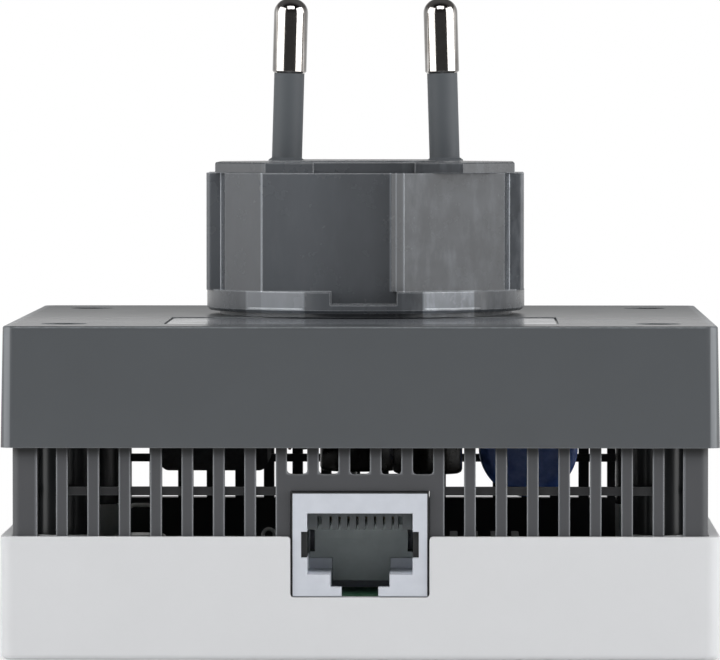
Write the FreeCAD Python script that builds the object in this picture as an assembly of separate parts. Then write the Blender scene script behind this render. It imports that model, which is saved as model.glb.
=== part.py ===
import FreeCAD, Part
import math
import os

# Plug-in powerline adapter, lying on its front cover with the mains pins up.
# Millimetres. Origin: centre of the front face. X to the right, -Y towards the
# network socket, +Z from the front cover towards the pins.

Vector = FreeCAD.Vector
quarter_turn = 90            # degrees

# --- enclosure ---------------------------------------------------------------
body_width = 80.2            # X, at the rims on either side of the vent band
body_depth = 80.0            # Y, at the same rims
cover_height = 13.75         # front cover, from the front face to its rim
band_height = 9.9            # vent band left open between the two mouldings
shell_height = 13.55         # back shell, rim to plug side
corner_radius = 1.5
cover_draft = 0.10           # inset of the front face on each side
shell_draft = 0.25           # inset of the plug side on each side
cover_edge_radius = 0.6
shell_edge_radius = 0.25
rim_wall = 1.2               # thin wall that laps over the vent band
seat_width = 0.7             # extra wall behind the lap, on which the band sits
cover_floor = 1.8
shell_roof = 2.0
cover_lap = 5.0              # how far the band reaches into the cover
shell_lap = 3.1              # how far it reaches into the shell
lap_gap = 0.1                # clearance round the band inside both rims

# --- vent band ---------------------------------------------------------------
band_wall = 1.8
bar_width = 1.28
bar_pitch = 3.5
corner_post_width = 2.8
slot_sink = 0.15             # slots start this far below the cover's rim
back_slot_sink = 0.0         # the same on the side away from the network socket
slot_rise = 0.5              # and end this far above the shell's rim
rib_height = 0.95            # stiffening rib behind the bars
rib_depth = 1.0
rib_above_rim = 4.45
jack_post_width = 1.7        # posts on both sides of the network socket
jack_lintel = 1.85           # band over the network socket
jack_slot_radius = 0.45

# --- case screws, in four pillars ---------------------------------------------
pillar_side_inset = 6.7      # body's side to the pillar's axis
pillar_front_inset = 9.0
pillar_back_inset = 12.0
pillar_radius = 3.5
head_bore_radius = 2.6       # counterbore that the screw head drops into
head_radius = 2.45
head_height = 1.8
head_seat_height = 18.0      # Z of the seat under the head
shank_radius = 1.45
shank_bore_radius = 1.5
shank_length = 13.0
pilot_floor = 3.6            # Z where the pilot hole in the tower ends
drive_width = 1.0            # cross recess in the screw heads
drive_depth = 0.9
gusset_thickness = 1.0
gusset_height = 5.2

# --- main board ----------------------------------------------------------------
board_thickness = 1.6
standoff_height = 3.7
standoff_radius = 2.5
stake_radius = 1.2           # pin that passes through the board
stake_hole_gap = 0.1
stake_head_radius = 1.9
stake_head_height = 0.5
standoff_side_inset = 10.0   # from the board's edges
standoff_front_inset = 16.8
standoff_back_inset = 15.0
main_board_front_gap = 0.3   # board edge to the inside of the cover's wall
main_board_side_gap = 3.2
main_board_back_gap = 4.1
pillar_clearance = 0.7       # board edge to pillar

# --- network socket --------------------------------------------------------------
jack_width = 15.0
jack_height = 11.45
jack_depth = 18.0
jack_recess = 0.4            # its face lies this far inside the rims
jack_gap = 0.25              # visible gap to the cover and the band
jack_notch_gap = 0.1         # gap under the socket
jack_notch_radius = 0.4
opening_width = 11.74
opening_height = 6.81
opening_floor = 2.44         # above the board
opening_depth = 11.0
latch_width = 6.6
latch_floor = 1.04
latch_slot_width = 4.08
latch_lip = 1.2              # front lip under the latch; behind it the channel is open to the board
side_notch_width = 0.69
side_notch_floor = 4.3
side_notch_height = 2.9
side_notch_depth = 11.0
contact_count = 8
contact_pitch = 0.99
contact_shift = 0.2          # the row sits a little off the opening's centre
contact_radius = 0.11
contact_setback = 2.4        # ends of the springs behind the comb's face
contact_slot_width = 0.28
contact_tip_drop = 0.9       # slope of the contact springs along their length
comb_height = 1.85
comb_setback = 0.9           # comb behind the socket's face
end_slot_offset = 4.5
end_slot_width = 0.5
insert_gap = 0.06
insert_back_length = 4.0
insert_step_height = 3.3     # lower part of the insert's face, set back from the upper part
insert_step = 0.4
insert_side_cut = 0.55       # beside the side notches
sill_height = 1.13           # housing left under the insert's face
rail_setback = 0.9           # dark rails in the side notches, behind the socket's face
rail_gap = 0.04

# --- pair button, its switch, and the indicator window ------------------------------
button_y = -8.0
button_radius = 5.0
button_hole_gap = 0.3
button_recess = 0.4          # below the front face
button_flange_radius = 6.1
button_flange_thickness = 0.7
button_play = 0.05
button_stem_radius = 1.3
button_travel = 0.4
collar_gap = 0.5
collar_wall = 1.0
collar_height = 1.6
switch_size = 6.0
switch_height = 2.1
plunger_radius = 1.6
plunger_gap = 0.1
plunger_length = 1.0
plunger_stand_out = 0.45     # plunger beyond the switch's face
indicator_y = 20.0
indicator_pitch = 8.0
indicator_count = 3
pipe_radius = 1.2
pipe_gap = 0.12
pipe_recess = 0.05
pipe_web_width = 3.4
pipe_web_thickness = 1.1
pipe_led_gap = 0.3
led_length = 1.6
led_width = 1.2
led_height = 0.7

# --- parts on the main board ----------------------------------------------------
network_transformer_size = (12.7, 9.4, 5.2)
network_transformer_gap = 1.9   # behind the socket
main_chip_size = (14.0, 14.0, 1.2)
main_chip_at = (14.0, 9.0)
sink_side = 13.0
sink_base = 1.0
sink_height = 2.7
sink_fins = 6
sink_fin_thickness = 0.9
memory_chip_size = (9.0, 13.0, 1.1)
memory_chip_at = (-14.0, 9.0)
flash_chip_size = (5.2, 5.2, 1.6)
flash_chip_at = (16.0, -8.0)
crystal_size = (11.0, 4.6, 3.4)
crystal_at = (-16.0, -6.0)
surface_capacitor_radius = 3.1
surface_capacitor_height = 4.3
surface_capacitor_base = 6.6
surface_capacitor_base_height = 0.8
surface_capacitors_at = ((-26.5, 3.0), (-26.5, -8.0), (26.0, -8.0))

# --- plug -------------------------------------------------------------------------
plug_y = 7.4                 # the plug lies off centre, away from the socket
plug_gap = 0.5               # shadow gap between the flange and the shell
plug_neck_radius = 17.2
flange_radius = 18.7
flange_bevel = 0.35          # under the flange's lower lip
flange_lip = 0.17
flange_height = 1.93         # faceted part, above the lip
flange_facet_start = 22.0    # degrees either side of front and back
flange_facet_end = 46.5
clip_recess_width = 7.7      # where a socket's earth clip goes
clip_recess_lift = 0.45      # above the flange's facets' lower edge
plug_body_height = 13.70
body_front = 14.0            # half depth of the housing at the recessed face
body_step_front = 15.2       # half depth of the raised face
body_step_low_x = 3.2        # step between the two faces
body_step_high_x = 4.7
body_facet_x = 11.8          # where the recessed face turns
body_corner_x = 16.3
body_corner_y = 9.0
ear_half_width = 6.0         # side ears, each with a guide groove
ear_x = 18.6
ear_root_x = 16.9
ear_radius = 0.6
guide_groove_width = 5.4
guide_groove_depth = 1.9
plug_cavity_width = 30.0
plug_cavity_depth = 23.6
plug_cavity_radius = 7.5
spigot_radius = 15.5
spigot_gap = 0.15
spigot_bore_radius = 13.4
spigot_reach = 0.95          # below the roof
hook_radius = 16.3
hook_width = 8.0
hook_gap = 0.05
cap_height = 1.25
cap_half_width = 17.5
cap_front = 13.5
cap_front_x = 11.5
cap_side_y = 7.5
cap_edge_radius = 0.2
cap_recess_half_width = 5.9
cap_recess_depth = 0.3
cap_spigot_height = 1.6
cap_spigot_gap = 0.15
cap_spigot_wall = 2.0        # from the cavity's wall to the pocket in the cap
platform_height = 0.2
platform_width = 22.6
platform_depth = 21.0
platform_radius = 3.0

# --- mains pins ---------------------------------------------------------------------
pin_base_spacing = 18.6      # centres at the plug's face
pin_tip_spacing = 17.5
pin_length = 19.0
pin_radius = 2.0
pin_dome_radius = 1.7
pin_core_radius = 1.35
pin_waist = 0.25             # chamfer where the tip meets the sleeve
sleeve_length = 10.2
sleeve_radius = 1.78
sleeve_gap = 0.02
sleeve_foot_radius = 2.15
sleeve_foot_height = 0.25    # flare above the plug's face
sleeve_foot_sink = 0.15      # foot let into the plug's face
sleeve_root = 3.0            # sleeve below the plug's face
pin_boss_radius = 3.3
pin_boss_length = 5.6        # under the cap's plate
pin_head_radius = 2.4
pin_head_thickness = 0.9
strap_width = 3.0
strap_thickness = 0.5
strap_tab_length = 3.6
strap_tail = 1.0             # solder tail past the power board
strap_slot_gap = 0.2

# --- power board, hung under the shell's roof --------------------------------------
power_board_drop = 2.2       # roof bosses
power_board_pillar_gap = 1.1
power_board_front_gap = 10.1 # board edge to the inside of the shell's wall
power_board_back_gap = 5.1
power_board_radius = 1.0
boss_radius = 2.4
boss_side_inset = 5.3        # from the board's edges
boss_front_inset = 6.0
boss_back_inset = 4.5
board_screw_radius = 0.95
board_screw_bore_gap = 0.05
board_screw_hole_gap = 0.25
board_screw_head_radius = 2.0
board_screw_head_height = 1.3
board_screw_depth = 2.0      # into the boss and the roof

# --- parts under the power board --------------------------------------------------
transformer_at = (-17.15, -6.0)
transformer_length = 20.0    # Y, over the winding
transformer_width = 12.3     # X
transformer_height = 11.6
core_leg = 2.6
winding_margin = 1.5
winding_radius = 1.2         # tape round the winding's corners
bobbin_base_height = 1.6
bobbin_cheek = 1.0
choke_at = (-6.9, -14.0)
choke_radius = 3.9
choke_hole_radius = 1.6
choke_length = 6.0           # Y
choke_height = 9.6           # board to the lowest point
choke_turn_margin = 0.5
bulk_capacitors = ((-0.6, -2.0, 4.6, 12.2), (7.4, -15.0, 4.0, 11.85))
capacitor_edge_radius = 0.8
capacitor_seal_height = 0.9
capacitor_seal_inset = 0.5
film_capacitor_size = (6.0, 13.0, 7.8)
film_capacitor_x = 25.0
film_capacitor_screw_gap = 3.0   # to the head of the board screw in front
varistor_x = 19.1
varistor_film_gap = 2.0      # disc to the film capacitor
varistor_radius = 5.8
varistor_thickness = 4.0
varistor_drop = 9.6          # board to disc centre
varistor_edge_radius = 1.2
lead_radius = 0.4
lead_spacing = 5.0
fuse_screw_gap = 0.9         # fuse to the head of the board screw beside it
fuse_edge_inset = 2.8        # fuse's axis to the board's front edge
fuse_radius = 2.2
fuse_length = 8.4
fuse_cap_length = 2.0
fuse_cap_margin = 0.15
fuse_drop = 3.2
coupler_at = (-19.5, 16.0)
coupler_size = (9.6, 11.0, 8.4)
coupler_edge_radius = 0.8
rectifier_at = (10.0, 20.0)
rectifier_size = (8.0, 6.4, 2.6)
heat_plate_size = (1.2, 14.0, 8.0)
heat_plate_x = 22.0
heat_plate_screw_gap = 2.5   # to the head of the board screw behind it

# --- header between the two boards -------------------------------------------------
header_x = -1.6
header_back_inset = 15.0     # from the power board's back edge
header_pins = 6
header_pitch = 2.54
header_width = 2.5
header_margin = 1.27
socket_height = 8.5
header_base_height = 2.5
header_pin_side = 0.64
header_pin_entry = 6.0       # pin length inside the socket
header_pin_hole_gap = 0.1

# --- rating label, blank -------------------------------------------------------------
label_width = 44.0
label_depth = 25.0
label_y = -19.5
label_radius = 1.0
label_recess = 0.3
label_gap = 0.25
label_thickness = 0.2

# --- levels worked out from the sizes above ------------------------------------------
rim_low = cover_height
rim_high = cover_height + band_height
body_top = rim_high + shell_height
roof_under = body_top - shell_roof
band_low = rim_low - cover_lap
band_high = rim_high + shell_lap
main_low = cover_floor + standoff_height
main_top = main_low + board_thickness
power_top = roof_under - power_board_drop
power_low = power_top - board_thickness
flange_low = body_top + plug_gap
facets_low = flange_low + flange_bevel + flange_lip
flange_top = facets_low + flange_height
housing_top = flange_top + plug_body_height
cap_top = housing_top + cap_height
plug_face = cap_top + platform_height
band_half_width = body_width / 2 - rim_wall - lap_gap
band_half_depth = body_depth / 2 - rim_wall - lap_gap
rib_low = rim_low + rib_above_rim
inside_half_width = body_width / 2 - rim_wall - seat_width
inside_half_depth = body_depth / 2 - rim_wall - seat_width
pillar_x = body_width / 2 - pillar_side_inset
pillar_y_front = pillar_front_inset - body_depth / 2
pillar_y_back = body_depth / 2 - pillar_back_inset
main_board_half_width = inside_half_width - main_board_side_gap
main_board_front = main_board_front_gap - inside_half_depth
main_board_back = inside_half_depth - main_board_back_gap
standoff_x = main_board_half_width - standoff_side_inset
standoff_y_front = main_board_front + standoff_front_inset
standoff_y_back = main_board_back - standoff_back_inset
power_board_half_width = pillar_x - pillar_radius - power_board_pillar_gap
power_board_front = power_board_front_gap - inside_half_depth
power_board_back = inside_half_depth - power_board_back_gap
boss_x = power_board_half_width - boss_side_inset
boss_y_front = power_board_front + boss_front_inset
boss_y_back = power_board_back - boss_back_inset
jack_front = -body_depth / 2 + jack_recess
jack_back = jack_front + jack_depth
jack_top = main_top + jack_height
window_half = jack_width / 2 + jack_gap
window_top = jack_top + jack_gap
lintel_top = window_top + jack_lintel
opening_low = main_top + opening_floor
opening_top = opening_low + opening_height
pillar_places = [(sx * pillar_x, y) for sx in (-1, 1) for y in (pillar_y_front, pillar_y_back)]
standoff_places = [(sx * standoff_x, y) for sx in (-1, 1)
                   for y in (standoff_y_front, standoff_y_back)]
boss_places = [(sx * boss_x, y) for sx in (-1, 1) for y in (boss_y_front, boss_y_back)]
network_transformer_at = (0.0, jack_back + network_transformer_gap + network_transformer_size[1] / 2)
header_y = power_board_back - header_back_inset
film_capacitor_at = (film_capacitor_x, boss_y_front + board_screw_head_radius
                     + film_capacitor_screw_gap + film_capacitor_size[1] / 2)
varistor_at = (varistor_x, film_capacitor_at[1] + film_capacitor_size[1] / 2
               + varistor_film_gap + varistor_thickness / 2)
fuse_at = (boss_x - board_screw_head_radius - fuse_screw_gap - fuse_length / 2,
           power_board_front + fuse_edge_inset)
heat_plate_at = (heat_plate_x, boss_y_back - board_screw_head_radius - heat_plate_screw_gap
                 - heat_plate_size[1] / 2)
pin_tilt = math.degrees(math.atan2((pin_base_spacing - pin_tip_spacing) / 2, pin_length))
pipe_places = [((i - (indicator_count - 1) / 2) * indicator_pitch, indicator_y)
               for i in range(indicator_count)]


# --- shape helpers ---------------------------------------------------------------------
def box(x_low, x_high, y_low, y_high, z_low, z_high):
    """Axis-aligned block between two corners."""
    return Part.makeBox(x_high - x_low, y_high - y_low, z_high - z_low, Vector(x_low, y_low, z_low))


def block(size, at, z_low):
    """Block of a given size, centred on a place in plan."""
    x, y = at
    half_x, half_y = size[0] / 2, size[1] / 2
    return box(x - half_x, x + half_x, y - half_y, y + half_y, z_low, z_low + size[2])


def post(radius, z_low, z_high, x=0.0, y=0.0):
    """Upright cylinder."""
    return Part.makeCylinder(radius, z_high - z_low, Vector(x, y, z_low))


def outline(points, z):
    """Closed straight-edged wire through points in plan."""
    corners = [Vector(x, y, z) for x, y in points]
    return Part.makePolygon(corners + corners[:1])


def prism(points, z_low, z_high):
    """Upright prism over a closed outline in plan."""
    return Part.Face(outline(points, z_low)).extrude(Vector(0, 0, z_high - z_low))


def rounded_outline(width, depth, radius, z, x=0.0, y=0.0):
    """Rectangle with round corners, centred on x, y."""
    half_x, half_y = width / 2, depth / 2
    edges = []
    centres = ((half_x - radius, half_y - radius), (radius - half_x, half_y - radius),
               (radius - half_x, radius - half_y), (half_x - radius, radius - half_y))
    for i, (cx, cy) in enumerate(centres):
        centre = Vector(x + cx, y + cy, z)
        start = quarter_turn * i
        stop = start + quarter_turn
        edges.append(Part.makeCircle(radius, centre, Vector(0, 0, 1), start, stop))
        next_cx, next_cy = centres[(i + 1) % 4]
        turn = math.radians(stop)
        arc_end = centre + Vector(math.cos(turn), math.sin(turn), 0) * radius
        next_centre = Vector(x + next_cx, y + next_cy, z)
        next_begin = next_centre + Vector(math.cos(turn), math.sin(turn), 0) * radius
        edges.append(Part.makeLine(arc_end, next_begin))
    return Part.Wire(edges)


def rounded_block(width, depth, radius, z_low, z_high, x=0.0, y=0.0):
    """Upright block with round vertical corners."""
    face = Part.Face(rounded_outline(width, depth, radius, z_low, x, y))
    return face.extrude(Vector(0, 0, z_high - z_low))


def drafted_block(size_low, size_high, radius, z_low, z_high):
    """Block with round corners whose sides lean with mould draft."""
    low = rounded_outline(size_low[0], size_low[1], radius, z_low)
    high = rounded_outline(size_high[0], size_high[1], radius, z_high)
    return Part.makeLoft([low, high], True, True)


def edges_at(shape, z, tolerance=1e-4):
    """Edges that lie wholly in the level plane z."""
    return [e for e in shape.Edges
            if abs(e.BoundBox.ZMin - z) < tolerance and abs(e.BoundBox.ZMax - z) < tolerance]


def upright_edges(shape, keep=lambda point: True):
    """Straight vertical edges whose middle passes a test."""
    found = []
    for edge in shape.Edges:
        room = edge.BoundBox
        if room.XLength < 1e-4 and room.YLength < 1e-4 and room.ZLength > 1e-3:
            if keep(room.Center):
                found.append(edge)
    return found


def fuse_all(first, others):
    """First solid with the others joined to it, seams removed."""
    return first.fuse(others).removeSplitter() if others else first


def save(name, shape):
    """Write one sub-part as parts/NAME.step."""
    solids = shape.Solids
    piece = solids[0] if len(solids) == 1 else Part.makeCompound(solids)
    if not piece.isValid():
        raise ValueError(name + " is not a valid shape")
    piece.exportStep("parts/" + name + ".step")
    bounds = piece.BoundBox
    print("%-20s solids %2d  volume %9.1f  z %.2f..%.2f" % (
        name, len(solids), piece.Volume, bounds.ZMin, bounds.ZMax))


# --- enclosure ---------------------------------------------------------------------------
def shell_cavity(floor_z, step_z, rim_z):
    """Space inside a moulding: narrow behind the band's seat, wider at the rim."""
    deep_inset = 2 * (rim_wall + seat_width)
    wide = rounded_block(body_width - 2 * rim_wall, body_depth - 2 * rim_wall,
                         max(corner_radius - rim_wall / 2, 0.3), min(step_z, rim_z), max(step_z, rim_z))
    deep = rounded_block(body_width - deep_inset, body_depth - deep_inset,
                         max(corner_radius - seat_width, 0.3), min(floor_z, step_z), max(floor_z, step_z))
    return wide.fuse(deep)


def make_front_cover():
    """Light tray: floor, walls, screw towers, board standoffs and socket notch."""
    cover = drafted_block((body_width - 2 * cover_draft, body_depth - 2 * cover_draft),
                          (body_width, body_depth), corner_radius, 0, rim_low)
    cover = cover.makeFillet(cover_edge_radius, edges_at(cover, 0))
    cover = cover.cut(shell_cavity(cover_floor, band_low, rim_low))

    added = []
    wall_x = body_width / 2 - rim_wall - seat_width / 2
    wall_y = body_depth / 2 - rim_wall - seat_width / 2
    tower_top = band_joint()
    for x, y in pillar_places:
        added.append(post(pillar_radius, cover_floor, tower_top, x, y))
        half = gusset_thickness / 2
        toward_x = sorted((x, math.copysign(wall_x, x)))
        toward_y = sorted((y, math.copysign(wall_y, y)))
        gusset_top = cover_floor + gusset_height
        added.append(box(toward_x[0], toward_x[1], y - half, y + half, cover_floor, gusset_top))
        added.append(box(x - half, x + half, toward_y[0], toward_y[1], cover_floor, gusset_top))
    for x, y in standoff_places:
        added.append(post(standoff_radius, cover_floor, main_low, x, y))
        added.append(post(stake_radius, main_low, main_top, x, y))
        added.append(post(stake_head_radius, main_top, main_top + stake_head_height, x, y))
    collar_inner = button_flange_radius + collar_gap
    collar = post(collar_inner + collar_wall, cover_floor, cover_floor + collar_height, 0, button_y)
    added.append(collar.cut(post(collar_inner, cover_floor, cover_floor + collar_height, 0, button_y)))
    cover = fuse_all(cover, added)

    removed = [post(shank_bore_radius, pilot_floor, tower_top, x, y) for x, y in pillar_places]
    removed.append(post(button_radius + button_hole_gap, 0, cover_floor, 0, button_y))
    removed += [post(pipe_radius + pipe_gap, 0, cover_floor, x, y) for x, y in pipe_places]
    removed.append(socket_notch())
    return cover.cut(removed)


def band_joint():
    """Height where the shell's pillars stand on the cover's towers."""
    return rim_low - slot_sink


def socket_notch():
    """Cut through the cover's wall for the network socket, with eased corners."""
    low = main_top - jack_notch_gap
    inside = -body_depth / 2 + rim_wall + seat_width
    notch = box(-window_half, window_half, -body_depth / 2 - 1, inside + 0.1, low, rim_low + 1)
    lower = [e for e in notch.Edges if e.BoundBox.XLength < 1e-4 and e.BoundBox.YLength > 1
             and e.BoundBox.ZMax < low + 1e-4]
    notch = notch.makeFillet(jack_notch_radius, lower)
    flare = box(-window_half - jack_notch_radius, window_half + jack_notch_radius,
                -body_depth / 2 - 1, inside + 0.1, rim_low - jack_notch_radius, rim_low + 1)
    for side in (-1, 1):
        centre_x = side * (window_half + jack_notch_radius)
        keep = Part.makeCylinder(jack_notch_radius, body_depth, Vector(centre_x, -body_depth,
                                 rim_low - jack_notch_radius), Vector(0, 1, 0))
        flare = flare.cut(keep)
    return notch.fuse(flare)


def make_vent_frame():
    """Grille ring between the mouldings, with a window for the network socket."""
    half_x, half_y = band_half_width, band_half_depth
    ring = rounded_block(2 * half_x, 2 * half_y, corner_radius - rim_wall / 2, band_low, band_high)
    ring = ring.cut(rounded_block(2 * (half_x - band_wall), 2 * (half_y - band_wall),
                                  0.3, band_low, band_high))
    ring = ring.fuse(stiffening_ribs())

    slot_low, slot_high = rim_low - slot_sink, rim_high + slot_rise
    slots = []
    for centre, width in slot_places(half_x):
        low, high = centre - width / 2, centre + width / 2
        slots.append(box(low, high, half_y - band_wall, half_y + 1, rim_low - back_slot_sink,
                         slot_high))
        if abs(centre) > window_half + jack_post_width:
            slots.append(box(low, high, -half_y - 1, band_wall - half_y, slot_low, slot_high))
    for centre, width in slot_places(half_y):
        low, high = centre - width / 2, centre + width / 2
        slots.append(box(half_x - band_wall, half_x + 1, low, high, slot_low, slot_high))
        slots.append(box(-half_x - 1, band_wall - half_x, low, high, slot_low, slot_high))
    slots += lintel_slots(slot_high)
    window = box(-window_half, window_half, -half_y - 1, rib_depth + band_wall - half_y,
                 band_low, window_top)
    return ring.cut(slots + [window])


def slot_places(half_length):
    """Centres and widths of the slots along one side, from the middle outwards."""
    gap = bar_pitch - bar_width
    last_edge = half_length - corner_post_width
    places = [(0.0, gap)]
    centre = bar_pitch
    while centre + gap / 2 + bar_width < last_edge - gap / 2:
        places += [(-centre, gap), (centre, gap)]
        centre += bar_pitch
    low = centre - gap / 2
    end_centre, end_width = (low + last_edge) / 2, last_edge - low
    return places + [(-end_centre, end_width), (end_centre, end_width)]


def last_bar_edge(half_length):
    """Outer edge of the last bar along one side, where the end slot begins."""
    centre, width = slot_places(half_length)[-1]
    return centre - width / 2


def lintel_slots(slot_high):
    """Short round-bottomed slots over the network socket."""
    inner_edge = window_half + jack_post_width - bar_width
    half_y = band_half_depth
    gap = bar_pitch - bar_width
    count = int((inner_edge + bar_width) // bar_pitch)
    cuts = []
    for i in range(-count, count + 1):
        low, high = i * bar_pitch - gap / 2, i * bar_pitch + gap / 2
        if i == count:
            high = inner_edge
        if i == -count:
            low = -inner_edge
        cut = box(low, high, -half_y - 1, band_wall - half_y, lintel_top, slot_high)
        bottom = [e for e in cut.Edges if e.BoundBox.XLength < 1e-4 and e.BoundBox.YLength > 1
                  and e.BoundBox.ZMax < lintel_top + 1e-4]
        cuts.append(cut.makeFillet(jack_slot_radius, bottom))
    return cuts


def stiffening_ribs():
    """Level rib behind the bars on all four sides, clear of the pillars."""
    inner_x, inner_y = band_half_width - band_wall, band_half_depth - band_wall
    end_x, end_y = last_bar_edge(band_half_width), last_bar_edge(band_half_depth)
    rib_high = rib_low + rib_height
    ribs = box(-end_x, end_x, inner_y - rib_depth, inner_y, rib_low, rib_high)
    ribs = ribs.fuse(box(-end_x, end_x, -inner_y, rib_depth - inner_y, rib_low, rib_high))
    for side in (-1, 1):
        face, back = side * inner_x, side * (inner_x - rib_depth)
        ribs = ribs.fuse(box(min(face, back), max(face, back), -end_y, end_y, rib_low, rib_high))
    clear = [post(pillar_radius + pillar_clearance, rib_low, rib_high, x, y) for x, y in pillar_places]
    return ribs.cut(clear)


def make_back_shell():
    """Dark moulding on the plug side, with pillars, roof bosses and plug hole."""
    shell = drafted_block((body_width, body_depth),
                          (body_width - 2 * shell_draft, body_depth - 2 * shell_draft),
                          corner_radius, rim_high, body_top)
    shell = shell.makeFillet(shell_edge_radius, edges_at(shell, body_top))
    shell = shell.cut(shell_cavity(roof_under, band_high, rim_high))
    added = [post(pillar_radius, band_joint(), roof_under, x, y) for x, y in pillar_places]
    added += [post(boss_radius, power_top, roof_under, x, y) for x, y in boss_places]
    shell = fuse_all(shell, added)

    removed = [post(spigot_radius + spigot_gap, roof_under, body_top, 0, plug_y)]
    for x, y in pillar_places:
        removed.append(post(head_bore_radius, head_seat_height, body_top, x, y))
        removed.append(post(shank_bore_radius, band_joint(), head_seat_height, x, y))
    for x, y in boss_places:
        removed.append(post(board_screw_radius + board_screw_bore_gap, power_top,
                            power_top + board_screw_depth, x, y))
    pocket = rounded_block(label_width + 2 * label_gap, label_depth + 2 * label_gap,
                           label_radius + label_gap, body_top - label_recess, body_top, 0, label_y)
    removed.append(pocket)
    return shell.cut(removed)


def make_case_screws():
    """Pan-head screws that hold the shell to the cover, driven from the plug side."""
    screws = []
    for x, y in pillar_places:
        head_top = head_seat_height + head_height
        screw = post(head_radius, head_seat_height, head_top, x, y)
        screw = screw.makeFillet(head_height / 3, edges_at(screw, head_top))
        shank = post(shank_radius, head_seat_height - shank_length, head_seat_height, x, y)
        shank = shank.makeChamfer(shank_radius / 2, edges_at(shank, head_seat_height - shank_length))
        reach, half = head_radius * 0.7, drive_width / 2
        low = head_top - drive_depth
        cross = box(x - reach, x + reach, y - half, y + half, low, head_top)
        cross = cross.fuse(box(x - half, x + half, y - reach, y + reach, low, head_top))
        screws.append(screw.fuse(shank).removeSplitter().cut(cross))
    return Part.makeCompound(screws)


def make_rating_label():
    """Blank label in the shell's shallow pocket, passing under the plug's flange."""
    low = body_top - label_recess
    label = rounded_block(label_width, label_depth, label_radius, low, low + label_thickness, 0, label_y)
    return label.cut(post(spigot_radius + spigot_gap, low, body_top, 0, plug_y))


# --- plug --------------------------------------------------------------------------------
def flange_outline():
    """Round flange with a straight facet on each side of the front and the back."""
    start, end = flange_facet_start, flange_facet_end
    front, back, whole = -quarter_turn, quarter_turn, 4 * quarter_turn
    stops = [front + start, front + end, back - end, back - start, back + start, back + end,
             whole + front - end, whole + front - start]
    centre = Vector(0, plug_y, 0)

    def rim_point(angle):
        turn = math.radians(angle)
        return centre + Vector(math.cos(turn), math.sin(turn), 0) * flange_radius

    edges = []
    for i, angle in enumerate(stops):
        next_angle = stops[i + 1] if i < 7 else stops[0] + whole
        if i % 2 == 0:
            edges.append(Part.makeLine(rim_point(angle), rim_point(next_angle)))
        else:
            edges.append(Part.makeCircle(flange_radius, centre, Vector(0, 0, 1), angle, next_angle))
    return Part.Wire(edges)


def housing_outline():
    """Plug housing in plan: the same half turned about the plug's axis."""
    half = [(-ear_x, -ear_half_width), (-ear_root_x, -ear_half_width),
            (-body_corner_x, -body_corner_y), (-body_facet_x, -body_front),
            (body_step_low_x, -body_front), (body_step_high_x, -body_step_front),
            (body_corner_x, -body_corner_y), (ear_root_x, -ear_half_width), (ear_x, -ear_half_width)]
    both = half + [(-x, -y) for x, y in half]
    return [(x, y + plug_y) for x, y in both]


def make_plug_body():
    """Moulded plug housing: neck, flange, faceted housing and hooks under the roof."""
    neck = post(plug_neck_radius, body_top, flange_low, 0, plug_y)
    lip_low = flange_low + flange_bevel
    bevel = Part.makeCone(flange_radius - flange_bevel, flange_radius, flange_bevel,
                          Vector(0, plug_y, flange_low))
    lip = post(flange_radius, lip_low, facets_low, 0, plug_y)
    flange_face = Part.Face(flange_outline())
    flange_face.translate(Vector(0, 0, facets_low))
    facets = flange_face.extrude(Vector(0, 0, flange_height))
    half_clip = clip_recess_width / 2
    recess_low = facets_low + clip_recess_lift
    for side in (-1, 1):
        inner, outer = plug_y + side * body_front, plug_y + side * (flange_radius + 1)
        facets = facets.cut(box(-half_clip, half_clip, min(inner, outer), max(inner, outer),
                                recess_low, flange_top))

    housing = prism(housing_outline(), flange_top, housing_top)
    ears = upright_edges(housing, lambda c: abs(c.x) > ear_x - 0.1)
    housing = housing.makeFillet(ear_radius, ears)
    spigot = post(spigot_radius, roof_under - spigot_reach, body_top, 0, plug_y)
    plug = fuse_all(neck, [bevel, lip, facets, housing, spigot, make_hooks()])

    removed = [rounded_block(plug_cavity_width, plug_cavity_depth, plug_cavity_radius,
                             flange_low, housing_top, 0, plug_y)]
    removed.append(post(spigot_bore_radius, roof_under - spigot_reach, flange_low, 0, plug_y))
    groove_floor = ear_x - guide_groove_depth
    half_groove = guide_groove_width / 2
    for side in (-1, 1):
        inner, outer = side * groove_floor, side * (ear_x + 1)
        removed.append(box(min(inner, outer), max(inner, outer), plug_y - half_groove,
                           plug_y + half_groove, flange_top, housing_top))
    return plug.cut(removed)


def make_hooks():
    """Four snap hooks that hold the plug's spigot under the roof."""
    low, high = roof_under - spigot_reach, roof_under - hook_gap
    ring = Part.makeCone(spigot_radius, hook_radius, high - low, Vector(0, plug_y, low))
    half, reach = hook_width / 2, hook_radius + 1
    cross = box(-half, half, plug_y - reach, plug_y + reach, low, high)
    cross = cross.fuse(box(-reach, reach, plug_y - half, plug_y + half, low, high))
    return ring.common(cross)


def cap_outline(inset=0.0):
    """Cap in plan: flat front and back, slanted shoulders and straight ends."""
    x, fx = cap_half_width - inset, cap_front_x - inset * 0.4
    y, sy = cap_front - inset, cap_side_y - inset * 0.4
    points = [(-x, -sy), (-fx, -y), (fx, -y), (x, -sy), (x, sy), (fx, y), (-fx, y), (-x, sy)]
    return [(px, py + plug_y) for px, py in points]


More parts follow.
